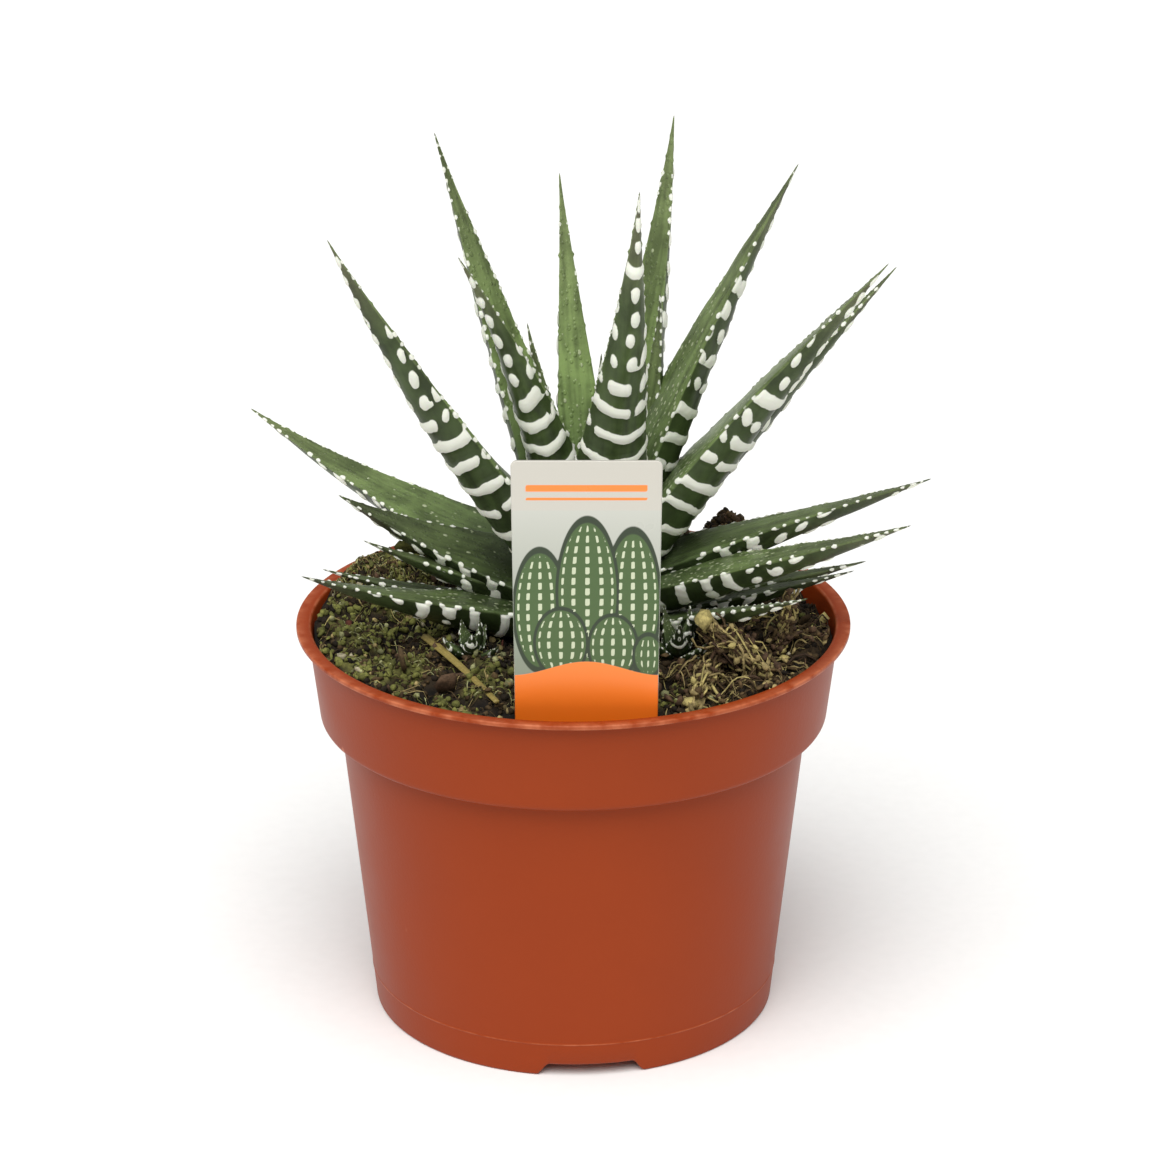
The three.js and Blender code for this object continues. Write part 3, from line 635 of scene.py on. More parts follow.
# A dry stalk is yellow-brown and slightly shiny, in streaks that run along the fibres,
# half a millimetre wide and 7 mm long.
stalk, stalk_place = new_material("dry straw stalk")
stalk_way = add_node(stalk, "ShaderNodeMapping", {
    "Vector": stalk_place, "Rotation": (0, 0, 1.18), "Scale": (150, 2200, 2200)})
stalk_fibre = add_node(stalk, "ShaderNodeTexNoise", {
    "Vector": stalk_way, "Scale": 1.0, "Detail": 3.0})
finish_material(stalk, {"Roughness": 0.6, "Base Color": add_node(stalk, "ShaderNodeMix", {
    "Factor": stalk_fibre, 6: "#5f5222", 7: "#b29e58"}, 2, data_type="RGBA")})
add_piece("straw_stalk", closed_skin(straw_grid, straw_centre[0], straw_centre[-1]), stalk,
          "dry_straw", replaced=["straw"])

# The stem and its roots
# A short fleshy stem with thick white roots, buried in the mix. Only a sliver of it ever
# shows between the lowest leaves, so the model's own solid is given its finish.

# Corky skin is matt and dull brown, paler in patches 2.5 mm wide where it has cracked.
stem_flesh, stem_place = new_material("corky stem skin")
stem_patches = add_node(stem_flesh, "ShaderNodeTexNoise", {
    "Vector": stem_place, "Scale": 400.0, "Detail": 5.0})
finish_material(stem_flesh, {"Roughness": 0.8, "Base Color": add_node(
    stem_flesh, "ShaderNodeMix", {"Factor": stem_patches, 6: "#3f3a1e", 7: "#7d7448"}, 2,
    data_type="RGBA")})
stem_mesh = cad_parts["stem_and_roots"].data
stem_mesh.materials.clear()
stem_mesh.materials.append(stem_flesh)

# The leaves
# Stiff fleshy blades, each grown in one piece from the stem. The inner face is smooth and
# green, and the rounded back carries raised white tubercles that run together in bands.
stem_top = {"x": 4.0, "y": 3.0, "lowest": 86.3, "top": 100.3, "radius": 6.5, "point": 1.6}
base_pitch, tip_pitch, bare_base, leaf_depth, tip_radius = 7.4, 4.6, 17.0, 0.42, 0.12
leaf_step, inner_columns, back_columns = 0.74, 14, 46
bead_radius, bead_extra, band_rise, tooth_rise, swelling = 1.0, 0.45, 0.42, 0.4, 0.22
outside = -9.0

# Tip place, foot height, bow, width, turn at the base and further turn by the tip.
leaves = [
    (6, 0, 148.8, 100.3, 0, 9, 0, 0), (8, 7, 138.3, 99.8, 0, 8, 0, 0),
    (13.5, -30, 192.8, 98.3, 5, 20, 0, 0), (18.5, 8, 159.8, 98.3, 4, 13, 20, 0),
    (-10, 18, 149.8, 97.8, 1, 10, 0, 0), (2, 22, 149.3, 97.3, 1, 10, 0, 0),
    (-29.4, 16, 192.6, 97.3, 1, 16.5, -28, 0), (21.5, 24, 194.3, 96.8, 3.5, 19, -30, 45),
    (-3, 25, 181.3, 96.3, 0, 13.5, 0, 0), (47, 0, 190.3, 95.8, -2, 21, 18, 0),
    (-23.5, -22, 176.7, 95.8, -3.5, 15.5, 25, 0), (-50, -25, 181.3, 95.3, 3, 23, -18, 25),
    (64.5, -25, 176.3, 94.8, -1.2, 23, 15, -5), (69, 12, 164.3, 94.8, 0, 16, 0, 0),
    (3, 48, 126.3, 94.3, 2, 15, 0, 0), (2, -40, 126.3, 93.3, 2, 14, 0, 0),
    (-72.8, 50, 119.3, 94.3, 3.5, 20, -10, 0), (50, 38, 135.3, 92.3, 0, 14, 0, 0),
    (75, -20, 127.8, 94.8, 0, 17, 12, -15), (-50.4, 0, 116.8, 93.3, 2, 20, -20, 0),
    (-12, 56, 100.3, 91.3, 1, 14, 0, 0), (69, -44, 126.3, 92.3, 1, 18, 8, 0),
    (24, 55, 108.3, 89.8, 1, 13, 0, 0), (-45, -5, 108.3, 89.8, 1, 12, 0, 0),
    (14, -40, 108.3, 89.3, 1, 12, 0, 0), (-57, -25, 107.8, 87.8, 2, 18, 0, 0),
    (63, -3, 102.8, 89.3, 1, 12, 0, 0), (4, 56, 98.3, 88.3, 1, 12, 0, 0),
    (-8, -36, 100.3, 87.8, 1, 11, 0, 0), (-54.5, 5, 97.8, 87.3, 1, 11, 0, 0),
    (60, -10, 103.3, 87.3, 1, 12, 0, 0), (-34, 44, 98.3, 86.8, 1, 11, 0, 0),
    (48.4, -42, 109.5, 86.3, 1, 11, 0, 0),
]

# How each leaf's markings differ from the usual: how closely the inner face is dotted, how
# far the bands reach round the middle of the back, how many margin dots are white, and a
# tone that the skin is multiplied by, mostly painted shade that darkens the low leaves lying
# under the others.
usual_marks = {"dots": 0.35, "wrap": 1.0, "margin": 0.8, "tone": 1.0}
leaf_marks = {
    7: {"dots": 0.15}, 8: {"dots": 0.15, "margin": 0.6},
    9: {"dots": 0.25, "margin": 0.12, "tone": 1.25},
    10: {"dots": 0.75, "margin": 0.45, "tone": 0.95}, 12: {"tone": 0.9},
    13: {"dots": 0.95, "margin": 0.6}, 17: {"dots": 0.2, "wrap": 0.4, "tone": 1.15},
    19: {"dots": 0.1, "wrap": 0.15, "tone": 0.9},
    20: {"dots": 0.1, "wrap": 0.3, "tone": 0.75},
    22: {"dots": 0.9, "wrap": 0.3, "tone": 0.88}, 24: {"wrap": 0.4, "tone": 0.8},
    26: {"dots": 0.7, "wrap": 0.3, "tone": 0.85}, 27: {"wrap": 0.2, "tone": 0.75},
    30: {"wrap": 0.2, "tone": 0.75}, 31: {"wrap": 0.2, "tone": 0.7}, 33: {"tone": 0.75},
}


def leaf_frames(leaf, crown, s):
    """The spine is a parabola from the foot, out by the bow halfway, to the tip. At each
    s from 0 to 1 it gives the centre, the way across and the way out of the inner face."""
    tip = np.array(leaf[:3], float)
    base_height, bow, _, roll, twist = leaf[3:]
    heading = np.arctan2(tip[1] - crown["y"], tip[0] - crown["x"])
    risen = (base_height - crown["lowest"]) / (crown["top"] - crown["lowest"])
    reach = crown["radius"] + (crown["point"] - crown["radius"]) * risen - 0.6
    foot = np.array([crown["x"] + reach * np.cos(heading),
                     crown["y"] + reach * np.sin(heading), base_height])
    across = np.array([-np.sin(heading), np.cos(heading), 0.0])
    chord = tip - foot
    inward = np.cross(chord / np.linalg.norm(chord), across)
    middle = foot + chord / 2 - 2 * bow * inward
    s = s[:, None]
    centre = (1 - s) ** 2 * foot + 2 * s * (1 - s) * middle + s**2 * tip
    along = unit(2 * (1 - s) * (middle - foot) + 2 * s * (tip - middle))
    side = unit(across - along * (along @ across)[:, None])
    turn = np.radians(roll + twist * s)
    side = side * np.cos(turn) + np.cross(along, side) * np.sin(turn)
    length = np.linalg.norm(np.diff(centre, axis=0, append=[tip]), axis=1).sum()
    return centre, side, np.cross(along, side), length


def half_width(width, s):
    """Even growth from the tip that levels off towards the base, times a slight neck."""
    from_tip = (1 - s) / 0.82
    blade = from_tip**1.15 / (1 + from_tip**8) ** (1 / 8)
    neck = 1 - 0.35 * np.maximum(0, 1 - s / 0.2) ** 2
    return tip_radius + width / 2 * blade * neck


def scattered(*keys):
    """A random number from 0 to 1 that belongs to whole-number keys."""
    total = mixed_bits(sum(np.asarray(key, np.int64) * step
                           for key, step in zip(keys, hash_steps)))
    return ((total ^ (total >> 15)) & 0xFFFF) / 65535.0


def band_number(s, length, size):
    """How many bands lie between the foot and s, and the pitch there in millimetres. The
    pitch falls evenly along the leaf, so the count goes as its logarithm."""
    first, fall = base_pitch * size, (base_pitch - tip_pitch) * size
    pitch = first - fall * s
    return length * np.log(first / pitch) / fall, pitch


def band_field(number, arc, arc_half, s, pitch, seed, size, wrap):
    """How far inside a white band a place is, in millimetres, less than 0 outside. Each
    band is a row of beads round the back that curves up towards the tip at its ends.
    Neighbours are joined by a bar as thick as they are wherever a random draw is under
    the chance, which falls from base to tip and towards the margins. A few of the beads
    that stand alone are hollow."""
    share = arc / arc_half
    number = number - 0.28 * share**2
    row = np.floor(number)
    along = (number - row - 0.5) * pitch
    gap = (3.0 + 1.4 * smooth_step(s, 0.42, 0.7)) * size
    shift = (scattered(row, seed, 5) - 0.5) * gap * smooth_step(1 - s, 0.45, 0.7)
    column = np.round((arc - shift) / gap)
    stretch = 1 - 0.45 * smooth_step(s, 0.35, 0.7)
    joined = 1.15 - 1.15 * smooth_step(s, 0.37, 0.72)
    joined = joined + 0.3 * (scattered(row, seed, 14) - 0.6)
    joined = joined * (1 - 0.35 * smooth_step(np.abs(share), 0.5, 0.75))
    joined = joined * (wrap + (1 - wrap) * smooth_step(np.abs(share), 0.3, 0.55))
    shown = wrap + (1 - wrap) * smooth_step(np.abs(share), 0.1, 0.5)

    def bead(place):
        """How far a bead's middle lies from its row's line, where it lies across the back,
        and its radius, or -1 where a draw leaves it out."""
        jitter = scattered(row, place, seed, 1) - 0.5
        across = shift + (place + 0.25 * (scattered(row, place, seed, 2) - 0.5)) * gap
        radius = size * (bead_radius + bead_extra * scattered(row, place, seed, 3))
        radius = radius * (1 - 0.3 * smooth_step(s, 0.4, 0.95))
        there = scattered(row, place, seed, 15) < shown + 0.001
        return 0.2 * jitter * pitch, across, np.where(there, radius, -1.0)

    best = np.full(arc.shape, outside)
    here = [bead(column + step) for step in (-1, 0, 1)]
    links = [scattered(row, column + step, seed, 4) < joined for step in (-1, 0)]
    hollow = ~(links[0] | links[1]) & (scattered(row, column, seed, 16) < 0.15)
    for step, (middle, across, radius) in zip((-1, 0, 1), here):
        away = np.hypot((along - middle) * stretch, arc - across)
        pit = np.where(hollow & (step == 0) & (radius > 0.9 * size), away - 0.3 * size, -outside)
        best = np.maximum(best, np.minimum(radius - away, pit))
    for linked, (start, end) in zip(links, zip(here, here[1:])):
        run = end[1] - start[1]
        rise = (end[0] - start[0]) * stretch
        t = (arc - start[1]) * run + (along - start[0]) * stretch * rise
        t = np.clip(t / (run**2 + rise**2), 0, 1)
        away = np.hypot((along - start[0]) * stretch - t * rise, arc - start[1] - t * run)
        radius = (1 - t) * start[2] + t * end[2] - 0.06 * size
        linked = linked & (start[2] > 0) & (end[2] > 0)
        best = np.maximum(best, np.where(linked, radius - away, outside))
    return best


def tooth_fields(number, edge, s, pitch, seed, size, white):
    """How far inside a tooth on the margin a place is: white ones, two to a band, and
    smaller green ones between them."""
    fields = []
    for offset, largest, kept in ((0.5, 0.72, white), (0.0, 0.56, white), (0.25, 0.34, 1.0)):
        row = np.round(number - offset)
        along = (number - offset - row - 0.25 * (scattered(row, seed, 6) - 0.5)) * pitch
        radius = size * largest * (0.7 + 0.5 * scattered(row, seed, 7)) * (1 - 0.35 * s)
        shown = scattered(row, seed, 17) < kept
        fields.append(np.where(shown, radius - np.hypot(along * 0.8, edge), outside))
    return np.maximum(fields[0], fields[1]), fields[2]


def leaf_skin(leaf, crown, seed, marks=usual_marks, size=1.0, step=leaf_step):
    """The blade as a grid, rows along it and columns round it: a nearly flat inner face
    and a back whose depth goes as a power of the sine, with the tubercles raised."""
    reach = np.linalg.norm(np.array(leaf[:3]) - (crown["x"], crown["y"], leaf[3]))
    rows = int(reach / step)
    s = np.linspace(0, 1, rows, endpoint=False)
    centre, side, face, length = leaf_frames(leaf, crown, s)
    half = half_width(leaf[5], s)[:, None]
    deep = half * 2 * leaf_depth * (1 + 0.5 * s[:, None])
    turn = np.concatenate([np.linspace(0, np.pi, inner_columns, endpoint=False),
                           np.linspace(np.pi, 2 * np.pi, back_columns, endpoint=False)])
    keel = 1.15 + 0.35 * s[:, None]
    across = half * np.cos(turn)
    swell = np.abs(np.sin(turn))
    out = 0.38 * deep + np.where(turn < np.pi, 0.07 * deep * swell,
                                 -0.98 * deep * swell**keel)
    flow = unit(np.stack([np.roll(across, -1, 1) - np.roll(across, 1, 1),
                          np.roll(out, -1, 1) - np.roll(out, 1, 1)], -1))

    s = np.broadcast_to(s[:, None], across.shape)
    distance = s * length
    rim = np.concatenate([across[:, inner_columns:], across[:, :1]], 1)
    drop = np.concatenate([out[:, inner_columns:], out[:, :1]], 1)
    stride = np.hypot(np.diff(rim, axis=1), np.diff(drop, axis=1))
    arc = np.concatenate([np.zeros((rows, 1)), np.cumsum(stride, 1)], 1)
    arc_half = arc[:, -1:] / 2
    arc = np.concatenate([arc[:, -1:], np.zeros((rows, inner_columns - 1)), arc[:, :-1]], 1)
    arc = arc - arc_half
    on_back = np.zeros(across.shape, bool)
    on_back[:, inner_columns:] = True
    on_back[:, 0] = True

    number, pitch = band_number(s, length, size)
    beads = band_field(number, arc, arc_half, s, pitch, seed, size, marks["wrap"])
    lobes = 0.16 * size * lattice_noise(np.stack([arc, distance], -1) / (1.1 * size), seed)
    inset = arc_half - np.abs(arc)
    beads = np.where(on_back, np.minimum(beads + lobes, inset - 0.25 * size), outside)
    beads = np.where(distance < min(bare_base * size, 0.3 * length), outside, beads)
    edge = np.where(on_back, inset, half - np.abs(across))
    teeth, green_teeth = tooth_fields(number, edge, s, pitch,
                                      seed + np.where(across > 0, 1, 2), size,
                                      marks["margin"])
    white = np.maximum(beads, teeth)
    dots = np.where(on_back, 0.0, marks["dots"] * (1 - smooth_step(s, 0.35, 0.85)))

    relief = band_rise * smooth_step(white, -0.12 * size, 0.5 * size)
    green_relief = tooth_rise * smooth_step(green_teeth, -0.1 * size, 0.35 * size)
    relief = size * np.maximum(relief, green_relief) * np.minimum(1, half / (1.3 * size))
    uneven = swelling * size * lattice_noise(np.stack([arc / 5, distance / 9], -1), seed)
    relief = relief + uneven * np.minimum(1, half / 4)
    across_out = across + relief * flow[..., 1]
    face_out = out - relief * flow[..., 0]
    grid = centre[:, None] + side[:, None] * across_out[..., None]
    grid = grid + face[:, None] * face_out[..., None]
    poles = {"band": (outside, outside), "along": (0.0, 1.0)}
    values = {"band": white, "dots": dots, "run": distance / size,
              "inner": np.where(on_back & (edge > 0.3), 0.0, 1.0), "along": s,
              "streak": across / size}
    values = {key: np.append(value, poles.get(key, (0.0, 0.0)))
              for key, value in values.items()}
    return closed_skin(grid, centre[0], np.array(leaf[:3], float)), values


# Living haworthia skin: a waxy cuticle over green flesh, fresher inside and darker on the back,
# which is partly its own colour and partly painted shade on the undersides, dull grey-brown at
# the very tip. The tubercles are chalk-white and more matt. The green is mottled over 6 mm and
# streaked along the leaf over 1.4 mm, and its pores, too fine to show, are drawn 0.7 mm wide.
skin_green, leaf_place = new_material("waxy haworthia skin")
band_value, inner_value, along_value, streak_value, shade_tone_value, dots_value, run_value = (
    add_node(skin_green, "ShaderNodeAttribute", output="Fac", attribute_name=key)
    for key in ("band", "inner", "along", "streak", "tone", "dots", "run"))
mottle = add_node(skin_green, "ShaderNodeTexNoise", {
    "Vector": leaf_place, "Scale": 160.0, "Detail": 4.0, "Roughness": 0.6})
pores = add_node(skin_green, "ShaderNodeTexNoise", {"Vector": leaf_place, "Scale": 1400.0})

# Both greens run from the base of the leaf to its tip.
greens = []
# The second green, on the back, is partly the back's own colour and partly painted shade for the
# undersides.
for stops in ([(0.12, "#344327"), (0.5, "#677948"), (0.97, "#5f6945")],
              [(0.2, "#2f3d1e"), (0.75, "#414f2c"), (0.98, "#5b5b45")]):
    greens.append(add_node(skin_green, "ShaderNodeValToRGB", {"Fac": along_value}))
    elements = greens[-1].node.color_ramp.elements
    for element, (place, code) in zip(elements, stops):
        element.color = linear(code)
        element.position = place
    last_place, last_code = stops[2]
    elements.new(last_place).color = linear(last_code)
inner_green, back_green_and_shade = greens

# Two places on a leaf: across it, along it, and by its tone, so that no two are alike. The
# pimples' cells are 1 mm across the leaf and 1.4 mm along it.
streak_place, dot_place = (
    add_node(skin_green, "ShaderNodeMapping", {"Scale": scale, "Vector": add_node(
        skin_green, "ShaderNodeCombineXYZ", (streak_value, down_leaf, shade_tone_value))})
    for down_leaf, scale in ((along_value, (0.7, 5.0, 31.0)), (run_value, (0.95, 0.7, 50.0))))
streaks = add_node(skin_green, "ShaderNodeTexNoise", {"Vector": streak_place, "Scale": 1.0})
cloud = add_node(skin_green, "ShaderNodeMath", (mottle, streaks), operation="ADD")
light_share = add_node(skin_green, "ShaderNodeMapRange", (cloud, 0.8, 1.2, 0.66, 1.36))
shade_toned = add_node(skin_green, "ShaderNodeMath", (light_share, shade_tone_value),
                 operation="MULTIPLY")
green = add_node(skin_green, "ShaderNodeMix", {
    "Factor": inner_value, 6: back_green_and_shade, 7: inner_green}, 2, data_type="RGBA")
varied = add_node(skin_green, "ShaderNodeVectorMath", (green, shade_toned), operation="MULTIPLY")

# Pimples on the inner face, one to a cell and some of them white.
dot_cells = add_node(skin_green, "ShaderNodeTexVoronoi", {"Vector": dot_place, "Scale": 1.0})
dot_draws = add_node(skin_green, "ShaderNodeSeparateColor", {
    "Color": dot_cells.node.outputs["Color"]})
dot_radius = add_node(skin_green, "ShaderNodeMapRange", (dot_draws, 0.0, 1.0, 0.16, 0.42))
dot_inside = add_node(skin_green, "ShaderNodeMath", (dot_radius, dot_cells),
                      operation="SUBTRACT")
dot_shown = add_node(skin_green, "ShaderNodeMath", (dot_draws.node.outputs[1], dots_value),
                     operation="LESS_THAN")
dot_soft = add_node(skin_green, "ShaderNodeMapRange", (dot_inside, -0.05, 0.12, 0.0, 0.8))
dot_share = add_node(skin_green, "ShaderNodeMath", (dot_soft, dot_shown),
                     operation="MULTIPLY")
pimples = add_node(skin_green, "ShaderNodeMath", (dot_soft, inner_value),
                   operation="MULTIPLY")
pimple_bump = add_node(skin_green, "ShaderNodeBump", {
    "Height": pimples, "Strength": 0.6, "Distance": 0.0003})
dotted = add_node(skin_green, "ShaderNodeMix", {
    "Factor": dot_share, 6: varied, 7: "#b4bd98"}, 2, data_type="RGBA")
chalk = add_node(skin_green, "ShaderNodeMix", {
    "Factor": mottle, 6: "#dde0d0", 7: "#f3f4e9"}, 2, data_type="RGBA")
band_share = add_node(skin_green, "ShaderNodeMapRange", (band_value, -0.06, 0.12),
                      interpolation_type="SMOOTHSTEP")
finish_material(skin_green, {
    "Base Color": add_node(skin_green, "ShaderNodeMix", {
        "Factor": band_share, 6: dotted, 7: chalk}, 2, data_type="RGBA"),
    "Roughness": add_node(skin_green, "ShaderNodeMapRange", (band_share, 0.0, 1.0, 0.4, 0.6)),
    "Normal": add_node(skin_green, "ShaderNodeBump", {
        "Height": pores, "Strength": 0.15, "Distance": 0.0003, "Normal": pimple_bump}),
    "IOR": 1.45, "Specular IOR Level": 0.35, "Subsurface Weight": 0.08,
    "Subsurface Scale": 0.002, "Subsurface Radius": (0.6, 1.0, 0.3)})

for number, leaf in enumerate(leaves, start=1):
    marks = usual_marks | leaf_marks.get(number, {})
    skin, values = leaf_skin(leaf, stem_top, 10 * number, marks)
    # Painted shade: the lower a leaf's tip, the darker its skin is made, for the low leaves lie
    # in the shade of those above; the sine gives each leaf a little tone of its own.
    steepness = np.clip((leaf[2] - 98) / 90, 0, 1)
    tone = marks["tone"] * (0.72 + 0.4 * steepness + 0.06 * np.sin(2.4 * number))
    add_piece(f"banded_leaf_{number:02d}", skin, skin_green, "leaf",
              replaced=[f"leaf_{number:02d}"], tone=np.full(len(skin[0]), tone), **values)

# The offsets
# Two young rosettes that the plant has sent up through the mix, each on a short stem of
# its own, with the same banded leaves at a third of the size.
offset_places = [(-21.7, -18.5, 9.0, 6), (22.0, -22.0, 13.0, 7)]
# The offsets' skin is darkened as painted shade, for they sit low under the leaves.
offset_size, offset_step, offset_shade_tone = 0.36, 0.3, 0.48
golden_angle = np.radians(137.5)
for number, (x, y, height, count) in enumerate(offset_places, start=1):
    ground = float(mix_height(x, y))
    crown = {"x": x, "y": y, "lowest": ground, "top": ground + 0.3 * height,
             "radius": 2.4, "point": 1.0}
    parts = []
    for i in range(count):
        out = 0.25 + 0.75 * i / (count - 1)
        reach = 0.8 * height * out
        small = (x + reach * np.cos(i * golden_angle), y + reach * np.sin(i * golden_angle),
                 ground + height * (1.15 - 0.7 * out),
                 crown["top"] - (crown["top"] - crown["lowest"]) * out, 0.5,
                 3 + 0.15 * height, 0, 0)
        parts.append(leaf_skin(small, crown, 500 + 20 * number + i, size=offset_size,
                               step=offset_step))
    skins = [skin for skin, _ in parts]
    starts = np.cumsum([0] + [len(skin[0]) for skin in skins[:-1]])
    joined = (np.concatenate([skin[0] for skin in skins]),
              *(np.concatenate([skin[k] + start for skin, start in zip(skins, starts)])
                for k in (1, 2)))
    values = {key: np.concatenate([value[key] for _, value in parts])
              for key in parts[0][1]}
    add_piece(f"young_offset_{number}", joined, skin_green, "leaf",
              replaced=[f"offset_{number}"], tone=np.full(len(joined[0]), offset_shade_tone),
              **values)

# The label
# A card die-cut from white sheet plastic, stuck into the mix on its pointed stake. Its
# print is a plain generic one: round cacti on an orange ground under two ruled lines.
label_width, label_width_low, label_thickness = 30.4, 29.4, 0.7
label_height, label_stake, label_stake_width, label_corner = 61.0, 55.0, 5.0, 1.2
label_lean = np.radians(7.5)
label_foot = np.array([label_middle, -50.0, 84.8])
front_columns, rear_columns, side_share = 110, 12, 0.992
stake_rows, card_rows, round_rows = 24, 150, 8
ground_height, ground_swell, half_card = 13.5, 1.6, label_width / 2
thick_rule, thin_rule, rule_half_length = (55.0, 0.75), (52.6, 0.3), 12.2
panel_top, rib_count, areole_waves, outline_half = 50.0, 13, 2.6, 0.3
cactus_bodies = [(-9.4, 27.0, 5.4, 14.0), (9.4, 29.0, 5.6, 16.5), (0.2, 31.0, 6.2, 17.0),
                 (-5.2, 19.5, 5.4, 8.0), (5.4, 18.5, 5.0, 7.5), (12.6, 16.5, 3.0, 5.0)]


def label_half_width(v):
    """Half the card's width at a height above the mix: rounded at the top corners, and
    below the mix drawn in to the stake and its point."""
    low, high = label_width_low / 2, label_width / 2
    card = low + (high - low) * np.clip(v / label_height, 0, 1)
    over = np.clip(v - (label_height - label_corner), 0, label_corner)
    card = card - label_corner + np.sqrt(label_corner**2 - over**2)
    stake = np.interp(-v, [0, 0.4 * label_stake, label_stake],
                      [low, label_stake_width / 2, 0.05])
    return np.where(v > 0, card, stake)


def label_grid():
    """Rows run up the card. Each goes across the front, round the edge and back."""
    square_top = label_height - label_corner
    rounding = label_corner * np.sin(np.linspace(0.1, np.pi / 2, round_rows))
    heights = np.concatenate([np.linspace(-label_stake, -0.5, stake_rows),
                              np.linspace(0, square_top, card_rows), square_top + rounding])
    share = np.concatenate([np.linspace(-side_share, side_share, front_columns), [1.0],
                            np.linspace(side_share, -side_share, rear_columns), [-1.0]])
    front = np.concatenate([np.ones(front_columns), [0.0], -np.ones(rear_columns), [0.0]])
    across = label_half_width(heights)[:, None] * share
    up = np.broadcast_to(heights[:, None], across.shape)
    out = np.broadcast_to(front * label_thickness / 2, across.shape)
    return across, up, out


def label_place(across, up, out):
    """The card's own directions in the frame: it leans towards the viewer at the top."""
    rise = np.array([0, -np.sin(label_lean), np.cos(label_lean)])
    toward = np.array([0, -np.cos(label_lean), -np.sin(label_lean)])
    return (label_foot + across[..., None] * (1, 0, 0) + up[..., None] * rise
            + out[..., None] * toward)


card_across, card_up, card_out = label_grid()
card_poles = label_place(np.zeros(2), np.array([-label_stake, label_height]), np.zeros(2))
card_skin = closed_skin(label_place(card_across, card_up, card_out), *card_poles)

# Each ink is how far inside its printed shape a place is, in millimetres.
ground_ink = ground_height + ground_swell * np.cos(card_across / half_card * np.pi) - card_up
rules = np.maximum(*(half - np.abs(card_up - middle) for middle, half in (thick_rule, thin_rule)))
rules = np.minimum(rules, rule_half_length - np.abs(card_across))
cactus_ink, rib_ink, outline_ink = (np.full(card_across.shape, outside) for _ in range(3))
for middle, base, half_across, half_up in cactus_bodies:
    round_x = (card_across - middle) / half_across
    round_y = (card_up - base) / half_up
    body = (1 - np.hypot(round_x, round_y)) * min(half_across, half_up)
    longitude = np.arcsin(np.clip(round_x / np.sqrt(np.clip(1 - round_y**2, 0.05, 1)), -1, 1))
    rib = np.minimum((np.cos(rib_count * longitude) - 0.55) * 0.8,
                     np.cos(areole_waves * card_up + middle) + 0.5)
    rib_ink = np.where(body > -0.2, np.minimum(body - 0.5, rib), rib_ink)
    outline_ink = np.where(body > outline_half, outline_half - body,
                           np.maximum(outline_ink, outline_half - np.abs(body)))
    cactus_ink = np.maximum(cactus_ink, body)
inks = {"panel": np.minimum(panel_top - card_up, -ground_ink),
        "orange": np.maximum(ground_ink, rules), "cactus": np.minimum(cactus_ink, -ground_ink),
        "outline": np.minimum(outline_ink, -ground_ink),
        "rib": np.minimum(rib_ink, -ground_ink)}
on_front = np.where((card_out > 0) & (card_up > 0), 0.0, outside)
inks = {key: np.append(np.maximum(ink, outside) + on_front, [outside, outside])
        for key, ink in inks.items()}

# White polystyrene sheet, screen-printed and glossy: each ink ends in a crisp edge, the
# orange and the grey fade a little up the card, and a film 11 mm wide dulls the gloss.
card, card_place = new_material("printed white polystyrene sheet")
card_rise = add_node(card, "ShaderNodeSeparateXYZ", (card_place,), "Z")
card_film = add_node(card, "ShaderNodeTexNoise", {
    "Vector": card_place, "Scale": 90.0, "Detail": 4.0})
orange_tone, panel_tone = (
    add_node(card, "ShaderNodeMix", {"Factor": add_node(
        card, "ShaderNodeMapRange", (card_rise, low, high)), 6: under, 7: over}, 2,
        data_type="RGBA")
    for low, high, under, over in ((0.086, 0.101, "#ff7b1c", "#ff8c38"),
                                   (0.1, 0.134, "#8d9683", "#c9cac0")))
card_colour = "#cdc9be"
for key, tone in (("panel", panel_tone), ("orange", orange_tone), ("cactus", "#476130"),
                  ("outline", "#27361d"), ("rib", "#ccd4b4")):
    ink = add_node(card, "ShaderNodeAttribute", output="Fac", attribute_name=key)
    share = add_node(card, "ShaderNodeMapRange", (ink, -0.06, 0.06))
    card_colour = add_node(card, "ShaderNodeMix", {
        "Factor": share, 6: card_colour, 7: tone}, 2, data_type="RGBA")
finish_material(card, {
    "Base Color": card_colour, "IOR": 1.55,
    "Roughness": add_node(card, "ShaderNodeMapRange", (card_film, 0.0, 1.0, 0.2, 0.42))})
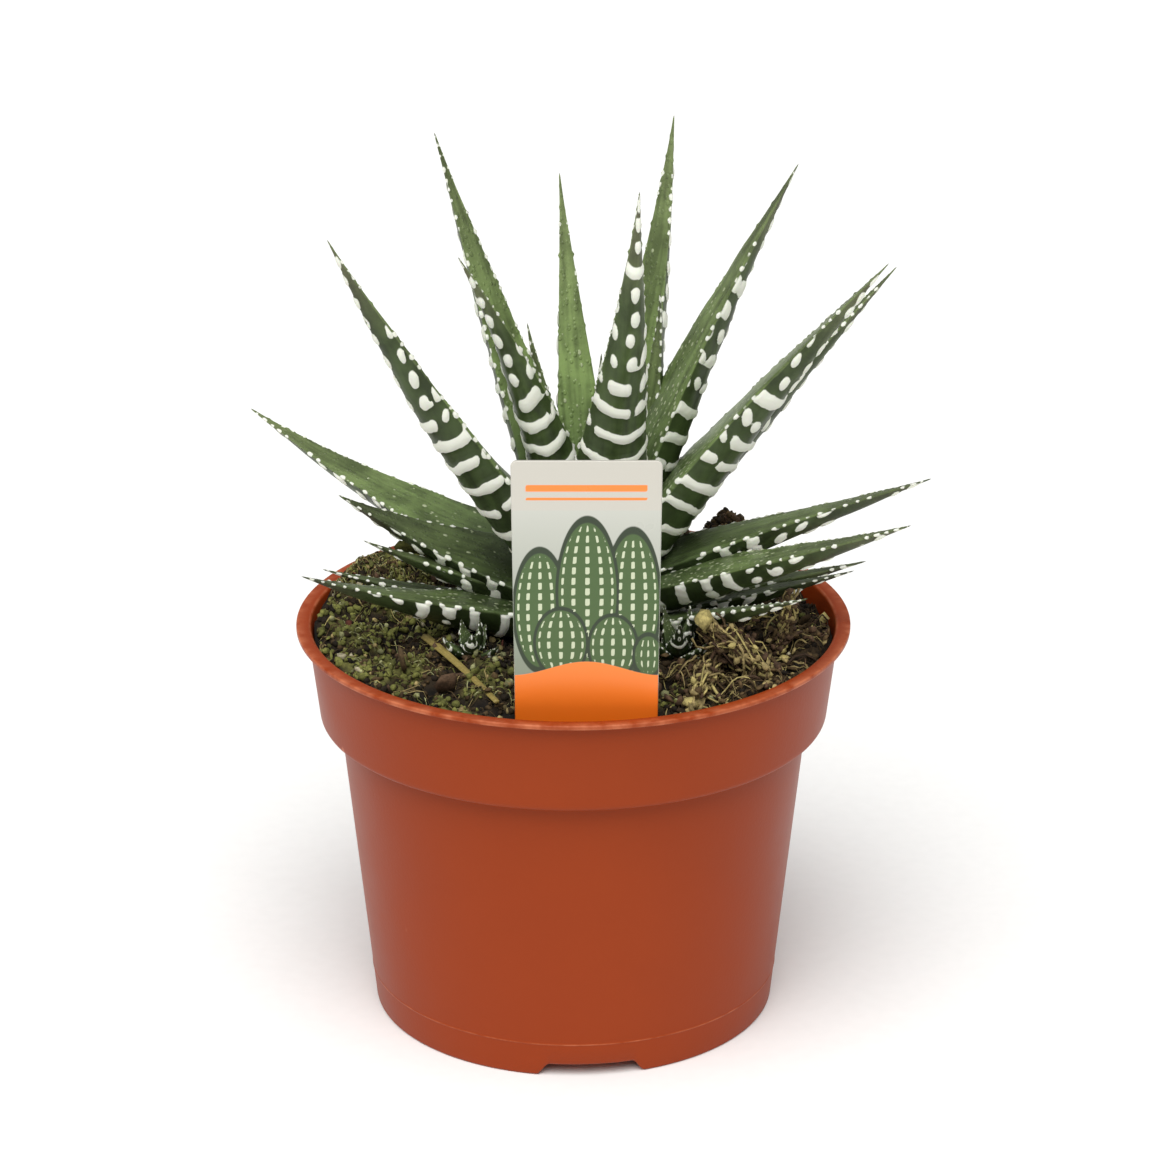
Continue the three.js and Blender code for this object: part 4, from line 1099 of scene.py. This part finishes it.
add_piece("plant_label_card", card_skin, card, "label_plastic", replaced=["label"], **inks)

# The studio
# A wide pale floor under one broad soft light, overhead and a little in front, and a faint
# even glow. The camera looks down on the pot, from the height of the photograph.
camera_place, camera_pitch = (0.0023, -0.854, 0.4293), np.radians(68.7)
camera_lens, camera_sensor = 130.7, 36.0
floor_half, glow = 30.0, 0.3
light_energy, light_angle, light_turn = 3.3, 1.0, np.radians((30.0, -5.0, 0.0))

camera = bpy.data.objects.new("camera", bpy.data.cameras.new("camera"))
camera.location = camera_place
camera.rotation_euler = (camera_pitch, 0, 0)
camera.data.lens = camera_lens
camera.data.sensor_width = camera_sensor
camera.data.clip_start = 0.05
bpy.context.scene.collection.objects.link(camera)
bpy.context.scene.camera = camera

# Matt paper, with a tooth 3 mm wide that barely tints it.
paper, paper_place = new_material("matt white studio paper")
paper_tooth = add_node(paper, "ShaderNodeTexNoise", {"Vector": paper_place, "Scale": 300.0})
finish_material(paper, {"Roughness": 0.9, "Base Color": add_node(paper, "ShaderNodeMix", {
    "Factor": paper_tooth, 6: "#f6f6f4", 7: "#fbfbf9"}, 2, data_type="RGBA")})
floor_mesh = bpy.data.meshes.new("studio_floor")
floor_mesh.from_pydata([(-floor_half, -floor_half, 0), (floor_half, -floor_half, 0),
                        (floor_half, floor_half, 0), (-floor_half, floor_half, 0)],
                       [], [(0, 1, 2, 3)])
floor_mesh.materials.append(paper)
floor = bpy.data.objects.new("studio_floor", floor_mesh)
bpy.context.scene.collection.objects.link(floor)

world = bpy.data.worlds.new("studio")
world.use_nodes = True
world.node_tree.nodes["Background"].inputs["Color"].default_value = (1.0, 1.0, 1.0, 1.0)
world.node_tree.nodes["Background"].inputs["Strength"].default_value = glow
bpy.context.scene.world = world
bpy.context.scene.view_settings.view_transform = "Standard"

light = bpy.data.objects.new("overhead_soft_light", bpy.data.lights.new("overhead", "SUN"))
light.data.energy = light_energy
light.data.angle = light_angle
light.rotation_euler = light_turn
bpy.context.scene.collection.objects.link(light)
